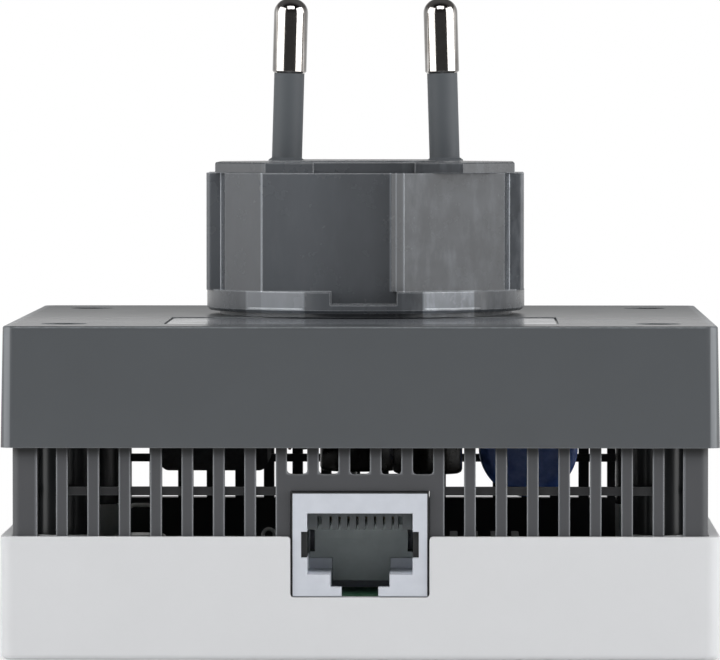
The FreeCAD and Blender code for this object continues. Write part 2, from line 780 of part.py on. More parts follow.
def make_plug_cap():
    """Cap over the housing: plate, raised platform, spigot and pin bosses."""
    plate = prism(cap_outline(), housing_top, cap_top)
    plate = plate.makeFillet(cap_edge_radius, edges_at(plate, cap_top))
    half = cap_recess_half_width
    for side in (-1, 1):
        inner, outer = plug_y + side * (cap_front - cap_recess_depth), plug_y + side * (cap_front + 1)
        plate = plate.cut(box(-half, half, min(inner, outer), max(inner, outer), housing_top, cap_top))
    platform = rounded_block(platform_width, platform_depth, platform_radius, cap_top, plug_face,
                             0, plug_y)
    spigot_low = housing_top - cap_spigot_height
    spigot = rounded_block(plug_cavity_width - 2 * cap_spigot_gap, plug_cavity_depth - 2 * cap_spigot_gap,
                           plug_cavity_radius - cap_spigot_gap, spigot_low, housing_top, 0, plug_y)
    pocket = rounded_block(plug_cavity_width - 2 * cap_spigot_wall,
                           plug_cavity_depth - 2 * cap_spigot_wall,
                           plug_cavity_radius - cap_spigot_wall, spigot_low, housing_top, 0, plug_y)
    bosses = [tilted(post(pin_boss_radius, -(plug_face - housing_top) - pin_boss_length,
                          -(plug_face - housing_top) / 2), side) for side in (-1, 1)]
    cap = fuse_all(plate, [platform, spigot.cut(pocket)] + bosses)
    bores = [tilted(pin_clearance(), side) for side in (-1, 1)]
    return cap.cut(bores)


def pin_clearance():
    """Everything that one pin and its sleeve take up inside the cap."""
    bore = post(sleeve_radius + sleeve_gap, -sleeve_root, 1)
    foot = post(sleeve_foot_radius + sleeve_gap, -sleeve_foot_sink - sleeve_gap, 1)
    shaft = post(pin_core_radius + sleeve_gap, pin_rear(), 1)
    head = post(pin_head_radius + sleeve_gap, pin_rear() - 1, pin_head_front() + sleeve_gap)
    return bore.fuse([foot, shaft, head])


def pin_rear():
    """Rear end of a pin, measured down from the plug's face."""
    return -(plug_face - housing_top) - pin_boss_length


def pin_head_front():
    """Front of the pin's rear head, where it bears on the cap's boss."""
    return pin_rear() + pin_head_thickness


def tilted(shape, side):
    """Move a shape drawn about the Z axis to one pin's place and lean it inwards."""
    moved = shape.copy()
    moved.rotate(Vector(0, 0, 0), Vector(0, 1, 0), -side * pin_tilt)
    moved.translate(Vector(side * pin_base_spacing / 2, plug_y, plug_face))
    return moved


def make_pin(side):
    """Solid brass pin: bare round tip, thinner core in the sleeve and a rear head."""
    tip = post(pin_radius, sleeve_length, pin_length)
    tip = tip.makeFillet(pin_dome_radius, edges_at(tip, pin_length))
    tip = tip.makeChamfer(pin_waist, edges_at(tip, sleeve_length))
    core = post(pin_core_radius, pin_rear(), sleeve_length)
    head = post(pin_head_radius, pin_rear(), pin_head_front())
    return tilted(tip.fuse([core, head]).removeSplitter(), side)


def make_sleeve(side):
    """Insulating sleeve on the inner half of a pin, with a small foot on the plug's face."""
    sleeve = post(sleeve_radius, -sleeve_root, sleeve_length)
    foot = post(sleeve_foot_radius, -sleeve_foot_sink, 0)
    flare = Part.makeCone(sleeve_foot_radius, sleeve_radius, sleeve_foot_height)
    sleeve = sleeve.fuse([foot, flare]).removeSplitter()
    sleeve = sleeve.cut(post(pin_core_radius + sleeve_gap, -sleeve_root, sleeve_length))
    return tilted(sleeve, side)


def make_strap(side):
    """Brass strap from a pin's rear head down through the power board."""
    lean = math.tan(math.radians(pin_tilt))
    rear_x = side * (pin_base_spacing / 2 - pin_rear() * lean)
    rear_z = plug_face + pin_rear() - pin_head_radius * lean - 0.03
    half_width = strap_width / 2
    blade_inner, blade_outer = rear_x, rear_x + side * strap_thickness
    blade = box(min(blade_inner, blade_outer), max(blade_inner, blade_outer), plug_y - half_width,
                plug_y + half_width, power_low - strap_tail, rear_z)
    half_tab = strap_tab_length / 2
    tab = box(rear_x - half_tab, rear_x + half_tab, plug_y - half_width, plug_y + half_width,
              rear_z - strap_thickness, rear_z)
    return blade.fuse(tab).removeSplitter()


# --- boards ------------------------------------------------------------------------------
def make_main_board():
    """Logic board, notched round the screw towers and held on staked standoffs."""
    front = main_board_front
    narrow = pillar_x - pillar_radius - pillar_clearance
    low_shelf = pillar_y_front + pillar_radius + pillar_clearance
    high_shelf = pillar_y_back - pillar_radius - pillar_clearance
    wide = main_board_half_width
    points = [(-narrow, front), (narrow, front), (narrow, low_shelf), (wide, low_shelf),
              (wide, high_shelf), (narrow, high_shelf), (narrow, main_board_back),
              (-narrow, main_board_back), (-narrow, high_shelf), (-wide, high_shelf),
              (-wide, low_shelf), (-narrow, low_shelf)]
    board = prism(points, main_low, main_top)
    holes = [post(stake_radius + stake_hole_gap, main_low, main_top, x, y) for x, y in standoff_places]
    return board.cut(holes)


def make_power_board():
    """Mains board screwed under the shell's roof, slotted for the pin straps."""
    depth = power_board_back - power_board_front
    middle = (power_board_back + power_board_front) / 2
    board = rounded_block(2 * power_board_half_width, depth, power_board_radius,
                          power_low, power_top, 0, middle)
    holes = [post(board_screw_radius + board_screw_hole_gap, power_low, power_top, x, y)
             for x, y in boss_places]
    for side in (-1, 1):
        room = make_strap(side).BoundBox
        blade = side * (abs(strap_blade_x()) + strap_thickness / 2)
        half = strap_thickness / 2 + strap_slot_gap
        holes.append(box(blade - half, blade + half, room.YMin - strap_slot_gap,
                         room.YMax + strap_slot_gap, power_low, power_top))
    return board.cut(holes)


def strap_blade_x():
    """Inner face of the strap's blade, on the right-hand side."""
    return pin_base_spacing / 2 - pin_rear() * math.tan(math.radians(pin_tilt))


def make_board_screws():
    """Small screws that hold the power board to the roof bosses."""
    screws = []
    for x, y in boss_places:
        head = post(board_screw_head_radius, power_low - board_screw_head_height, power_low, x, y)
        head = head.makeFillet(board_screw_head_height / 3,
                               edges_at(head, power_low - board_screw_head_height))
        shank = post(board_screw_radius, power_low, power_top + board_screw_depth, x, y)
        screws.append(head.fuse(shank).removeSplitter())
    return Part.makeCompound(screws)


# --- network socket -------------------------------------------------------------------------
def make_jack_housing():
    """Socket housing: stepped opening, latch slot, side notches and a pocket behind."""
    half = jack_width / 2
    housing = box(-half, half, jack_front, jack_back, main_top, jack_top)
    half_open = opening_width / 2
    opening_back = jack_front + opening_depth
    cavity_back = opening_back + insert_back_length
    removed = [box(-half_open, half_open, jack_front, opening_back, opening_low, opening_top)]
    removed.append(box(-half_open, half_open, opening_back, cavity_back,
                       opening_low + sill_height, opening_top))
    half_latch, half_slot = latch_width / 2, latch_slot_width / 2
    latch_low, lip_back = main_top + latch_floor, jack_front + latch_lip
    removed.append(box(-half_latch, half_latch, jack_front, lip_back, latch_low, opening_low))
    removed.append(box(-half_latch, half_latch, lip_back, cavity_back, main_top,
                       opening_low + sill_height))
    removed.append(box(-half_slot, half_slot, jack_front, lip_back, main_top, latch_low))
    notch_low = main_top + side_notch_floor
    for side in (-1, 1):
        inner, outer = side * half_open, side * (half_open + side_notch_width)
        removed.append(box(min(inner, outer), max(inner, outer), jack_front,
                           jack_front + side_notch_depth, notch_low, notch_low + side_notch_height))
    return housing.cut(removed)


def contact_places():
    """X of each contact spring."""
    return [contact_shift + (i - (contact_count - 1) / 2) * contact_pitch
            for i in range(contact_count)]


def make_jack_insert():
    """Dark carrier in the socket: slotted comb on top and a stepped block at the back."""
    half = opening_width / 2 - insert_gap
    top = opening_top - insert_gap
    comb_low = opening_top - comb_height
    comb_front = jack_front + comb_setback
    back_front = jack_front + opening_depth
    back_end = back_front + insert_back_length - insert_gap
    sill, step_z = opening_low + sill_height, opening_low + insert_step_height
    half_latch = latch_width / 2 - insert_gap
    comb = box(-half, half, comb_front, back_end, comb_low, top)
    upper = box(-half, half, back_front - insert_step, back_end, step_z, top)
    lower = box(-half, half, back_front, back_end, sill + insert_gap, step_z)
    middle = box(-half_latch, half_latch, back_front, back_end, main_top + latch_floor, step_z)
    insert = fuse_all(comb, [upper, lower, middle])
    cut_low = main_top + side_notch_floor
    for side in (-1, 1):
        inner, outer = side * (half - insert_side_cut), side * (half + 1)
        insert = insert.cut(box(min(inner, outer), max(inner, outer), jack_front, back_end,
                                cut_low, comb_low))
    slots = []
    slot_top = comb_low + comb_height * 0.8
    for x in contact_places():
        slots.append(box(x - contact_slot_width / 2, x + contact_slot_width / 2, comb_front,
                         back_front, comb_low, slot_top))
    for side in (-1, 1):
        x = side * end_slot_offset
        slots.append(box(x - end_slot_width / 2, x + end_slot_width / 2, comb_front,
                         back_front, comb_low, slot_top))
    return insert.cut(slots)


def make_jack_rails():
    """Dark rails that line the socket's side notches and stop the insert from rising."""
    low = main_top + side_notch_floor
    front, back = jack_front + rail_setback, jack_front + side_notch_depth
    rails = []
    for side in (-1, 1):
        inner = side * (opening_width / 2 + rail_gap)
        outer = side * (opening_width / 2 + side_notch_width)
        rails.append(box(min(inner, outer), max(inner, outer), front, back, low,
                         low + side_notch_height - rail_gap))
    return Part.makeCompound(rails)


def make_jack_contacts():
    """Contact springs, sloping down from the comb's front to the back of the opening."""
    start_z = opening_top - comb_height * 0.35
    front = jack_front + comb_setback + contact_setback
    back = jack_front + opening_depth - insert_step
    wires = []
    for x in contact_places():
        start = Vector(x, front, start_z)
        end = Vector(x, back, start_z - contact_tip_drop)
        path = end - start
        wires.append(Part.makeCylinder(contact_radius, path.Length - 2 * contact_radius, start, path))
    return Part.makeCompound(wires)


# --- button, switch and indicators ---------------------------------------------------------
def make_pair_button():
    """Round push button, flanged inside the cover, with a stem to the switch."""
    flange_low_z = cover_floor + button_play
    cap = post(button_radius, button_recess, flange_low_z, 0, button_y)
    cap = cap.makeFillet(0.3, edges_at(cap, button_recess))
    flange = post(button_flange_radius, flange_low_z, flange_low_z + button_flange_thickness, 0, button_y)
    stem = post(button_stem_radius, flange_low_z, plunger_tip(), 0, button_y)
    return cap.fuse([flange, stem]).removeSplitter()


def plunger_tip():
    """Lowest face of the switch's plunger at rest, where the button's stem ends."""
    return main_low - switch_height - plunger_stand_out


def make_switch_body():
    """Housing of the tactile switch, soldered under the main board."""
    low = main_low - switch_height
    body = block((switch_size, switch_size, switch_height), (0, button_y), low)
    depth = plunger_length - plunger_stand_out + button_travel + 0.2
    return body.cut(post(plunger_radius + plunger_gap, low, low + depth, 0, button_y))


def make_switch_plunger():
    """Plunger of the tactile switch."""
    return post(plunger_radius, plunger_tip(), plunger_tip() + plunger_length, 0, button_y)


def make_light_pipe():
    """Clear moulding: three rods to the front face, joined by a web on the floor."""
    span = (indicator_count - 1) * indicator_pitch + pipe_web_width
    web_top = cover_floor + pipe_web_thickness
    web = rounded_block(span, pipe_web_width, pipe_web_width / 2 - 0.01, cover_floor, web_top,
                        0, indicator_y)
    rod_top = main_low - led_height - pipe_led_gap
    rods = [post(pipe_radius, pipe_recess, rod_top, x, y) for x, y in pipe_places]
    return fuse_all(web, rods)


def make_status_leds():
    """Surface-mounted indicator lamps under the main board."""
    return Part.makeCompound([block((led_length, led_width, led_height), place, main_low - led_height)
                              for place in pipe_places])


# --- parts on the main board -----------------------------------------------------------------
def make_heat_sink():
    """Finned heat sink on the main chip."""
    low = main_top + main_chip_size[2]
    sink = block((sink_side, sink_side, sink_base), main_chip_at, low)
    fins = []
    for i in range(sink_fins):
        x = main_chip_at[0] + (i / (sink_fins - 1) - 0.5) * (sink_side - sink_fin_thickness)
        fins.append(block((sink_fin_thickness, sink_side, sink_height - sink_base),
                          (x, main_chip_at[1]), low + sink_base))
    return fuse_all(sink, fins)


def make_surface_capacitors():
    """Can capacitors on square bases."""
    cans = []
    for x, y in surface_capacitors_at:
        side = surface_capacitor_base
        base = block((side, side, surface_capacitor_base_height), (x, y), main_top)
        can_low = main_top + surface_capacitor_base_height
        can_top = main_top + surface_capacitor_height
        can = post(surface_capacitor_radius, can_low, can_top, x, y)
        can = can.makeFillet(0.4, edges_at(can, can_top))
        cans.append(base.fuse(can))
    return Part.makeCompound(cans)


def make_crystal():
    """Oscillator can with round ends."""
    length, width, height = crystal_size
    x, y = crystal_at
    can = rounded_block(length, width, width / 2 - 0.01, main_top, main_top + height, x, y)
    return can.makeFillet(0.4, edges_at(can, main_top + height))


# --- parts under the power board ----------------------------------------------------------------
def make_transformer_core():
    """Pair of E cores round the bobbin, legs along Y."""
    x, y = transformer_at
    half_x, half_y = transformer_width / 2, transformer_length / 2
    low, high = power_low - transformer_height, power_low - bobbin_base_height
    core = box(x - half_x, x + half_x, y - half_y + winding_margin, y + half_y - winding_margin,
               low, high)
    core = core.makeFillet(1.0, [e for e in core.Edges if e.BoundBox.YLength > 1
                                 and e.BoundBox.ZMax < low + 0.1])
    window = box(x - half_x + core_leg, x + half_x - core_leg, y - half_y, y + half_y, low + core_leg,
                 high - core_leg)
    centre = box(x - core_leg / 2, x + core_leg / 2, y - half_y + winding_margin,
                 y + half_y - winding_margin, low + core_leg, high - core_leg)
    return fuse_all(core.cut(window), [centre])


def make_transformer_winding():
    """Taped winding in the core's windows, standing out at both ends."""
    x, y = transformer_at
    half_x, half_y = transformer_width / 2, transformer_length / 2
    low = power_low - transformer_height + core_leg + 0.1
    high = power_low - bobbin_base_height - core_leg - 0.1
    half = half_x - core_leg - 0.1
    winding = rounded_block(2 * half, 2 * half_y, winding_radius, low, high, x, y)
    slot = box(x - core_leg / 2 - 0.1, x + core_leg / 2 + 0.1, y - half_y + winding_margin - 0.1,
               y + half_y - winding_margin + 0.1, low, high)
    return winding.cut(slot)


def make_transformer_bobbin():
    """Bobbin rail between the core and the board, with its row pins."""
    x, y = transformer_at
    rail_low = power_low - bobbin_base_height
    rail = block((transformer_width - bobbin_cheek, transformer_length, bobbin_base_height),
                 (x, y), rail_low)
    return rail.makeFillet(0.4, upright_edges(rail))


def choke_centre_z():
    """Height of the choke's axis."""
    return power_low - choke_height + choke_radius


def make_choke_core():
    """Ring core standing under the board, axis along Y."""
    x, y = choke_at
    half = choke_length / 2 - choke_turn_margin
    start, along = Vector(x, y - half, choke_centre_z()), Vector(0, 1, 0)
    outer = Part.makeCylinder(choke_radius - choke_turn_margin, 2 * half, start, along)
    return outer.cut(Part.makeCylinder(choke_hole_radius + choke_turn_margin, 2 * half, start, along))


def make_choke_windings():
    """Two windings on the ring, left and right, with leads up to the board."""
    x, y = choke_at
    half = choke_length / 2
    start, along = Vector(x, y - half, choke_centre_z()), Vector(0, 1, 0)
    ring = Part.makeCylinder(choke_radius, 2 * half, start, along)
    ring = ring.cut(Part.makeCylinder(choke_hole_radius, 2 * half, start, along))
    ring = ring.cut(make_choke_core())
    gap = 1.0
    room = choke_radius + 1
    ring = ring.cut(box(x - gap, x + gap, y - half - 1, y + half + 1, choke_centre_z() - room,
                        choke_centre_z() + room))
    pieces = []
    for side in (-1, 1):
        lead_x = x + side * (choke_radius - lead_radius - 0.3)
        lead = post(lead_radius, choke_centre_z() + 1.0, power_low, lead_x, y)
        turns = [s for s in ring.Solids if (s.CenterOfMass.x - x) * side > 0]
        lead = lead.cut(make_choke_core())
        lead = max(lead.Solids, key=lambda s: s.BoundBox.ZMax)
        pieces.append(fuse_all(turns[0], [lead]))
    return Part.makeCompound(pieces)


def make_bulk_capacitors():
    """Electrolytic capacitors hanging under the board, sleeved, crimped at the seal."""
    cans = []
    for x, y, radius, length in bulk_capacitors:
        low = power_low - length
        neck_low = power_low - capacitor_seal_height
        can = post(radius, low, neck_low, x, y)
        can = can.makeFillet(capacitor_edge_radius, edges_at(can, low))
        seal = post(radius - capacitor_seal_inset, neck_low, power_low, x, y)
        cans.append(can.fuse(seal).removeSplitter())
    return Part.makeCompound(cans)


def make_varistor():
    """Disc varistor hanging on its leads, its faces towards the network socket."""
    x, y = varistor_at
    start = Vector(x, y - varistor_thickness / 2, power_low - varistor_drop)
    disc = Part.makeCylinder(varistor_radius, varistor_thickness, start, Vector(0, 1, 0))
    rims = [e for e in disc.Edges if e.Closed]
    return disc.makeFillet(varistor_edge_radius, rims)


def make_varistor_leads():
    """Two straight leads between the disc and the board."""
    x, y = varistor_at
    centre_z = power_low - varistor_drop
    leads = []
    for side in (-1, 1):
        lead = post(lead_radius, centre_z, power_low, x + side * lead_spacing / 2, y)
        leads.append(lead.cut(make_varistor()))
    return Part.makeCompound(leads)


def make_fuse():
    """Ceramic tube of the fuse, lying along X under the board."""
    x, y = fuse_at
    start = Vector(x - fuse_length / 2, y, power_low - fuse_drop)
    return Part.makeCylinder(fuse_radius, fuse_length, start, Vector(1, 0, 0))


def make_fuse_caps():
    """Metal end caps of the fuse and their leads up to the board."""
    x, y = fuse_at
    caps = []
    for side in (-1, 1):
        inner = x + side * (fuse_length / 2 - fuse_cap_length)
        outer = x + side * (fuse_length / 2 + fuse_cap_margin)
        low = min(inner, outer)
        cap = Part.makeCylinder(fuse_radius + fuse_cap_margin, abs(outer - inner),
                                Vector(low, y, power_low - fuse_drop), Vector(1, 0, 0))
        lead_x = x + side * (fuse_length / 2 - fuse_cap_length / 2)
        lead = post(lead_radius, power_low - fuse_drop, power_low, lead_x, y)
        caps.append(cap.fuse(lead).removeSplitter().cut(make_fuse()))
    return Part.makeCompound([max(c.Solids, key=lambda s: s.Volume) for c in caps])


def make_film_capacitor():
    """Moulded film capacitor."""
    can = block(film_capacitor_size, film_capacitor_at, power_low - film_capacitor_size[2])
    return can.makeFillet(0.5, can.Edges)


def make_coupling_transformer():
    """Signal transformer that puts the data on the mains, in its potting box."""
    body = block(coupler_size, coupler_at, power_low - coupler_size[2])
    return body.makeFillet(coupler_edge_radius, upright_edges(body))


def make_heat_plate():
    """Upright aluminium plate beside the switching transistor."""
    return block(heat_plate_size, heat_plate_at, power_low - heat_plate_size[2])


# --- header between the boards -------------------------------------------------------------
def header_places():
    """Y of each header pin."""
    return [header_y + (i - (header_pins - 1) / 2) * header_pitch for i in range(header_pins)]


def header_length():
    """Length of the strips at both ends of the header."""
    return (header_pins - 1) * header_pitch + 2 * header_margin


def header_strip(z_low, z_high, hole_half, hole_low, hole_high):
    """Plastic strip with a square hole at every pin."""
    strip = block((header_width, header_length(), z_high - z_low), (header_x, header_y), z_low)
    holes = [box(header_x - hole_half, header_x + hole_half, y - hole_half, y + hole_half,
                 hole_low, hole_high) for y in header_places()]
    return strip.cut(holes)


def make_header_socket():
    """Female strip on the main board."""
    top = main_top + socket_height
    hole = header_pin_side / 2 + header_pin_hole_gap
    return header_strip(main_top, top, hole, top - header_pin_entry - 0.4, top)


def make_header_base():
    """Plastic strip that holds the pins under the power board."""
    low = power_low - header_base_height
    return header_strip(low, power_low, header_pin_side / 2, low, power_low)


def make_header_pins():
    """Square pins from the power board into the socket."""
    low = main_top + socket_height - header_pin_entry
    side = header_pin_side
    return Part.makeCompound([block((side, side, power_low - low), (header_x, y), low)
                              for y in header_places()])


def main():
    os.makedirs("parts", exist_ok=True)
    save("front_cover", make_front_cover())
    save("vent_frame", make_vent_frame())
    save("back_shell", make_back_shell())
    save("rating_label", make_rating_label())
    save("case_screws", make_case_screws())
    save("plug_body", make_plug_body())
    save("plug_cap", make_plug_cap())
    for side, name in ((-1, "left"), (1, "right")):
        save("pin_" + name, make_pin(side))
        save("pin_sleeve_" + name, make_sleeve(side))
        save("pin_strap_" + name, make_strap(side))
    save("power_board", make_power_board())
    save("board_screws", make_board_screws())
    save("transformer_core", make_transformer_core())
    save("transformer_winding", make_transformer_winding())
    save("transformer_bobbin", make_transformer_bobbin())
    save("choke_core", make_choke_core())
    save("choke_windings", make_choke_windings())
    save("bulk_capacitors", make_bulk_capacitors())
    save("film_capacitor", make_film_capacitor())
    save("varistor", make_varistor())
    save("varistor_leads", make_varistor_leads())
    save("fuse_tube", make_fuse())
    save("fuse_caps", make_fuse_caps())
    save("coupling_transformer", make_coupling_transformer())
    save("rectifier", block(rectifier_size, rectifier_at, power_low - rectifier_size[2]))
    save("heat_plate", make_heat_plate())
    save("header_base", make_header_base())
    save("header_pins", make_header_pins())
    save("header_socket", make_header_socket())
    save("main_board", make_main_board())
    save("jack_housing", make_jack_housing())
    save("jack_insert", make_jack_insert())
    save("jack_rails", make_jack_rails())
    save("jack_contacts", make_jack_contacts())
    save("network_transformer", block(network_transformer_size, network_transformer_at, main_top))
    save("main_chip", block(main_chip_size, main_chip_at, main_top))
    save("heat_sink", make_heat_sink())
    save("memory_chip", block(memory_chip_size, memory_chip_at, main_top))
    save("flash_chip", block(flash_chip_size, flash_chip_at, main_top))
    save("crystal", make_crystal())
    save("surface_capacitors", make_surface_capacitors())
    save("status_leds", make_status_leds())
    save("light_pipe", make_light_pipe())
    save("switch_body", make_switch_body())
    save("switch_plunger", make_switch_plunger())
    save("pair_button", make_pair_button())


main()
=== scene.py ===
import math

import bmesh
import bpy
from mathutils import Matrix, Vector


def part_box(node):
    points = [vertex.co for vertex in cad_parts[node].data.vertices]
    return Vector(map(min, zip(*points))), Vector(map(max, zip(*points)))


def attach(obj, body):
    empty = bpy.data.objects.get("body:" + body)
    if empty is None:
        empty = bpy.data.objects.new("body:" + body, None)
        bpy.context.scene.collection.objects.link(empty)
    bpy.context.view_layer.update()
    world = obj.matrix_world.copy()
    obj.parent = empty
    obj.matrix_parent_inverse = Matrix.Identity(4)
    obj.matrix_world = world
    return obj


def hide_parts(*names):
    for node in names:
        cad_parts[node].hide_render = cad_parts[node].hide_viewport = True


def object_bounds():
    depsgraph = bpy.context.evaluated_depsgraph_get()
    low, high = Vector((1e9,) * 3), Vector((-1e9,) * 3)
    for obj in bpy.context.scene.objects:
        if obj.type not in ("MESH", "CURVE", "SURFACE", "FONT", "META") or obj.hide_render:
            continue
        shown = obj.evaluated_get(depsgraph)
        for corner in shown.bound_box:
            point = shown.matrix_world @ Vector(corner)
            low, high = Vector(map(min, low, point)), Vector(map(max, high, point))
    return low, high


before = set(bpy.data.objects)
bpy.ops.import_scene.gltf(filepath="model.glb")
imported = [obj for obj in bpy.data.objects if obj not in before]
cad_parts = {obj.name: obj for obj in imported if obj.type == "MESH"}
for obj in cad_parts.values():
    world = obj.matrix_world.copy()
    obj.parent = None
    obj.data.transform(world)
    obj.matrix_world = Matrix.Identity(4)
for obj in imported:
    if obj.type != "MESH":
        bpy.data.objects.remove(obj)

cad_box = [list(corner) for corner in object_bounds()]

# Lengths are in millimetres unless they are passed to Blender, which takes metres.
MM = 0.001

# Places on the adapter that the finishes follow.
HOUSING_HALF = 40.0                 # from the middle to each side
SHELL_TOP = 37.0                    # the dark shell's upper face
LINTEL_TOP = 20.65                  # grille's lintel over the network socket
LINTEL_SIDE = 9.2                   # and its ends, from the middle plane
BAR_PITCH, BAR_WIDTH = 3.5, 1.28    # grille
BARS_END = 36.4                     # its last bar, from the middle plane
BARS_FACE = 38.6                    # just behind the bars' faces, from the middle plane
FLANGE_TOP = 40.15                  # plug's round flange
PLUG_BODY_TOP = 53.9                # seam between the plug's body and cap
PLUG_EDGES = (-11.93, 3.04, 3.72, 4.62)     # upright edges on the plug's front, where highlight lines are painted
PLUG_CORNERS = (-16.87, 16.87)
PIN_MIDDLE = 8.9                    # a pin's axis half way up, from the middle plane
PIN_FLANK = (1.72, 2.6)             # where a pin's side turns away, from its axis; a dark reflection is painted there


# --- nodes -------------------------------------------------------------------------------
def colour(red, green, blue):
    """A display colour, 0 to 255, as the linear colour that a shader takes."""
    def linear(value):
        value /= 255
        return value / 12.92 if value <= 0.04045 else ((value + 0.055) / 1.055) ** 2.4
    return (linear(red), linear(green), linear(blue), 1.0)


def add(material, kind, inputs=None, **settings):
    """New node of a material or world, with its inputs and settings."""
    node = material.node_tree.nodes.new("ShaderNode" + kind)
    for key, value in settings.items():
        setattr(node, key, value)
    for key, value in (inputs or {}).items():
        node.inputs[key].default_value = value
    return node


def join(material, from_node, output, to_node, socket):
    material.node_tree.links.new(from_node.outputs[output], to_node.inputs[socket])


def empty_nodes(owner):
    """Give a material or world an empty set of nodes."""
    owner.use_nodes = True
    owner.node_tree.nodes.clear()
    return owner


def new_finish(name):
    """Empty material with its shader; the finish's own nodes are added to it."""
    material = empty_nodes(bpy.data.materials.new(name))
    output = add(material, "OutputMaterial")
    shader = add(material, "BsdfPrincipled")
    join(material, shader, "BSDF", output, "Surface")
    return material, shader


def on_object(material, stretch=(1, 1, 1), shift=(0, 0, 0)):
    """Object coordinates, stretched or shifted where the pattern needs it."""
    place = add(material, "TexCoord")
    mapping = add(material, "Mapping", {"Scale": stretch, "Location": shift})
    join(material, place, "Object", mapping, "Vector")
    return mapping


def grain(material, mapping, size_mm, detail, rough):
    """Noise with features of about the given size."""
    noise = add(material, "TexNoise", {"Scale": 1 / (size_mm * MM), "Detail": detail,
                                       "Roughness": rough})
    join(material, mapping, "Vector", noise, "Vector")
    return noise


def spread(material, from_node, output, low, high, to_low=0.0, to_high=1.0):
    """Map a range of values onto another."""
    node = add(material, "MapRange", {"From Min": low, "From Max": high,
                                      "To Min": to_low, "To Max": to_high})
    join(material, from_node, output, node, "Value")
    return node


def blend_colours(material, mask, first, second):
    """Colour that goes from the first to the second with a mask; the first may be a node."""
    node = add(material, "Mix", data_type="RGBA")
    join(material, mask, 0, node, 0)
    if isinstance(first, tuple):
        node.inputs[6].default_value = first
    else:
        join(material, first, 2, node, 6)
    node.inputs[7].default_value = second
    return node


# --- masks, by place on the adapter ------------------------------------------------------
def combined(material, operation, first, others):
    """Several masks made one, two at a time."""
    for other in others:
        node = add(material, "Math", operation=operation)
        join(material, first, 0, node, 0)
        join(material, other, 0, node, 1)
        first = node
    return first


def all_of(material, first, *others):
    """Mask where every one of these masks holds."""
    return combined(material, "MULTIPLY", first, others)


def any_of(material, first, *others):
    """Mask where at least one of these masks holds."""
    return combined(material, "MAXIMUM", first, others)


def places(material):
    """The object coordinates, split into three."""
    place = add(material, "TexCoord")
    split = add(material, "SeparateXYZ")
    join(material, place, "Object", split, "Vector")
    return split


def distances(material):
    """The distances from the three middle planes, on either side of them."""
    place = add(material, "TexCoord")
    size = add(material, "VectorMath", operation="ABSOLUTE")
    join(material, place, "Object", size, 0)
    split = add(material, "SeparateXYZ")
    join(material, size, "Vector", split, "Vector")
    return split


def ramp(material, split, axis, start_mm, stop_mm):
    """Mask that goes from 0 at the first place to 1 at the second; either may be the larger."""
    return spread(material, split, axis, start_mm * MM, stop_mm * MM)


def band(material, split, axis, low_mm, high_mm, soft_mm):
    """Mask that is 1 between two places and fades outside them."""
    return all_of(material, ramp(material, split, axis, low_mm - soft_mm, low_mm),
                  ramp(material, split, axis, high_mm + soft_mm, high_mm))


def beyond(material, axis, start_mm, stop_mm):
    """Mask that is 0 up to the first place along an axis and 1 past the second."""
    return ramp(material, places(material), axis, start_mm, stop_mm)


def above(material, level_mm, soft_mm=0.1):
    return beyond(material, "Z", level_mm - soft_mm / 2, level_mm + soft_mm / 2)


def below(material, level_mm, soft_mm=0.1):
    return beyond(material, "Z", level_mm + soft_mm / 2, level_mm - soft_mm / 2)


def window(material, low_mm, high_mm, soft_mm):
    """Mask between two places from left to right."""
    return band(material, places(material), "X", low_mm, high_mm, soft_mm)


def on_both_sides(material, low_mm, high_mm):
    """Mask between two distances from the middle plane, left and right of it."""
    return band(material, distances(material), "X", low_mm, high_mm, 0.15)


def behind_outline(material, start_mm, stop_mm):
    """Mask of what lies deeper inside the square outline of the housing."""
    split = distances(material)
    reach = add(material, "Math", operation="MAXIMUM")
    join(material, split, "X", reach, 0)
    join(material, split, "Y", reach, 1)
    return ramp(material, reach, "Value", HOUSING_HALF - start_mm, HOUSING_HALF - stop_mm)


def bar_edges(material):
    """Mask of the upright edges of the grille's bars, near and far side, for a painted highlight.
    """
    split = distances(material)
    from_slot = add(material, "Math", {1: BAR_PITCH / 2 * MM}, operation="PINGPONG")
    join(material, split, "X", from_slot, 0)
    edge = (BAR_PITCH - BAR_WIDTH) / 2
    painted_edge_highlight, fade, soft = 0.09, 0.12, 0.05
    lines = ramp(material, from_slot, "Value", edge + painted_edge_highlight + fade, edge + painted_edge_highlight)
    outer = ramp(material, split, "Y", BARS_FACE - 2 * soft, BARS_FACE)
    among_bars = ramp(material, split, "X", BARS_END + 2 * soft, BARS_END - soft)
    beside_window = ramp(material, split, "X", LINTEL_SIDE - soft, LINTEL_SIDE + soft)
    off_lintel = any_of(material, beside_window, above(material, LINTEL_TOP))
    return all_of(material, lines, outer, among_bars, off_lintel)


# --- parts of a finish -------------------------------------------------------------------
def toned(material, shader, noise, low, high, first, second):
    """Base colour that goes from one tone to another with a noise."""
    tone = blend_colours(material, spread(material, noise, "Fac", low, high), first, second)
    join(material, tone, 2, shader, "Base Color")


def glossed(material, shader, noise, low, high, smooth, rough):
    """Roughness that changes with a noise."""
    roughness = spread(material, noise, "Fac", low, high, smooth, rough)
    join(material, roughness, "Result", shader, "Roughness")


def eased_edges(material, radius_mm):
    """Shading normal of edges rounded by the mould."""
    return add(material, "Bevel", {"Radius": radius_mm * MM}, samples=6)


def relieved(material, shader, noise, eased, strength, depth_mm):
    """Fine relief on top of the eased edges."""
    bump = add(material, "Bump", {"Strength": strength, "Distance": depth_mm * MM})
    join(material, noise, "Fac", bump, "Height")
    join(material, eased, "Normal", bump, "Normal")
    join(material, bump, "Normal", shader, "Normal")


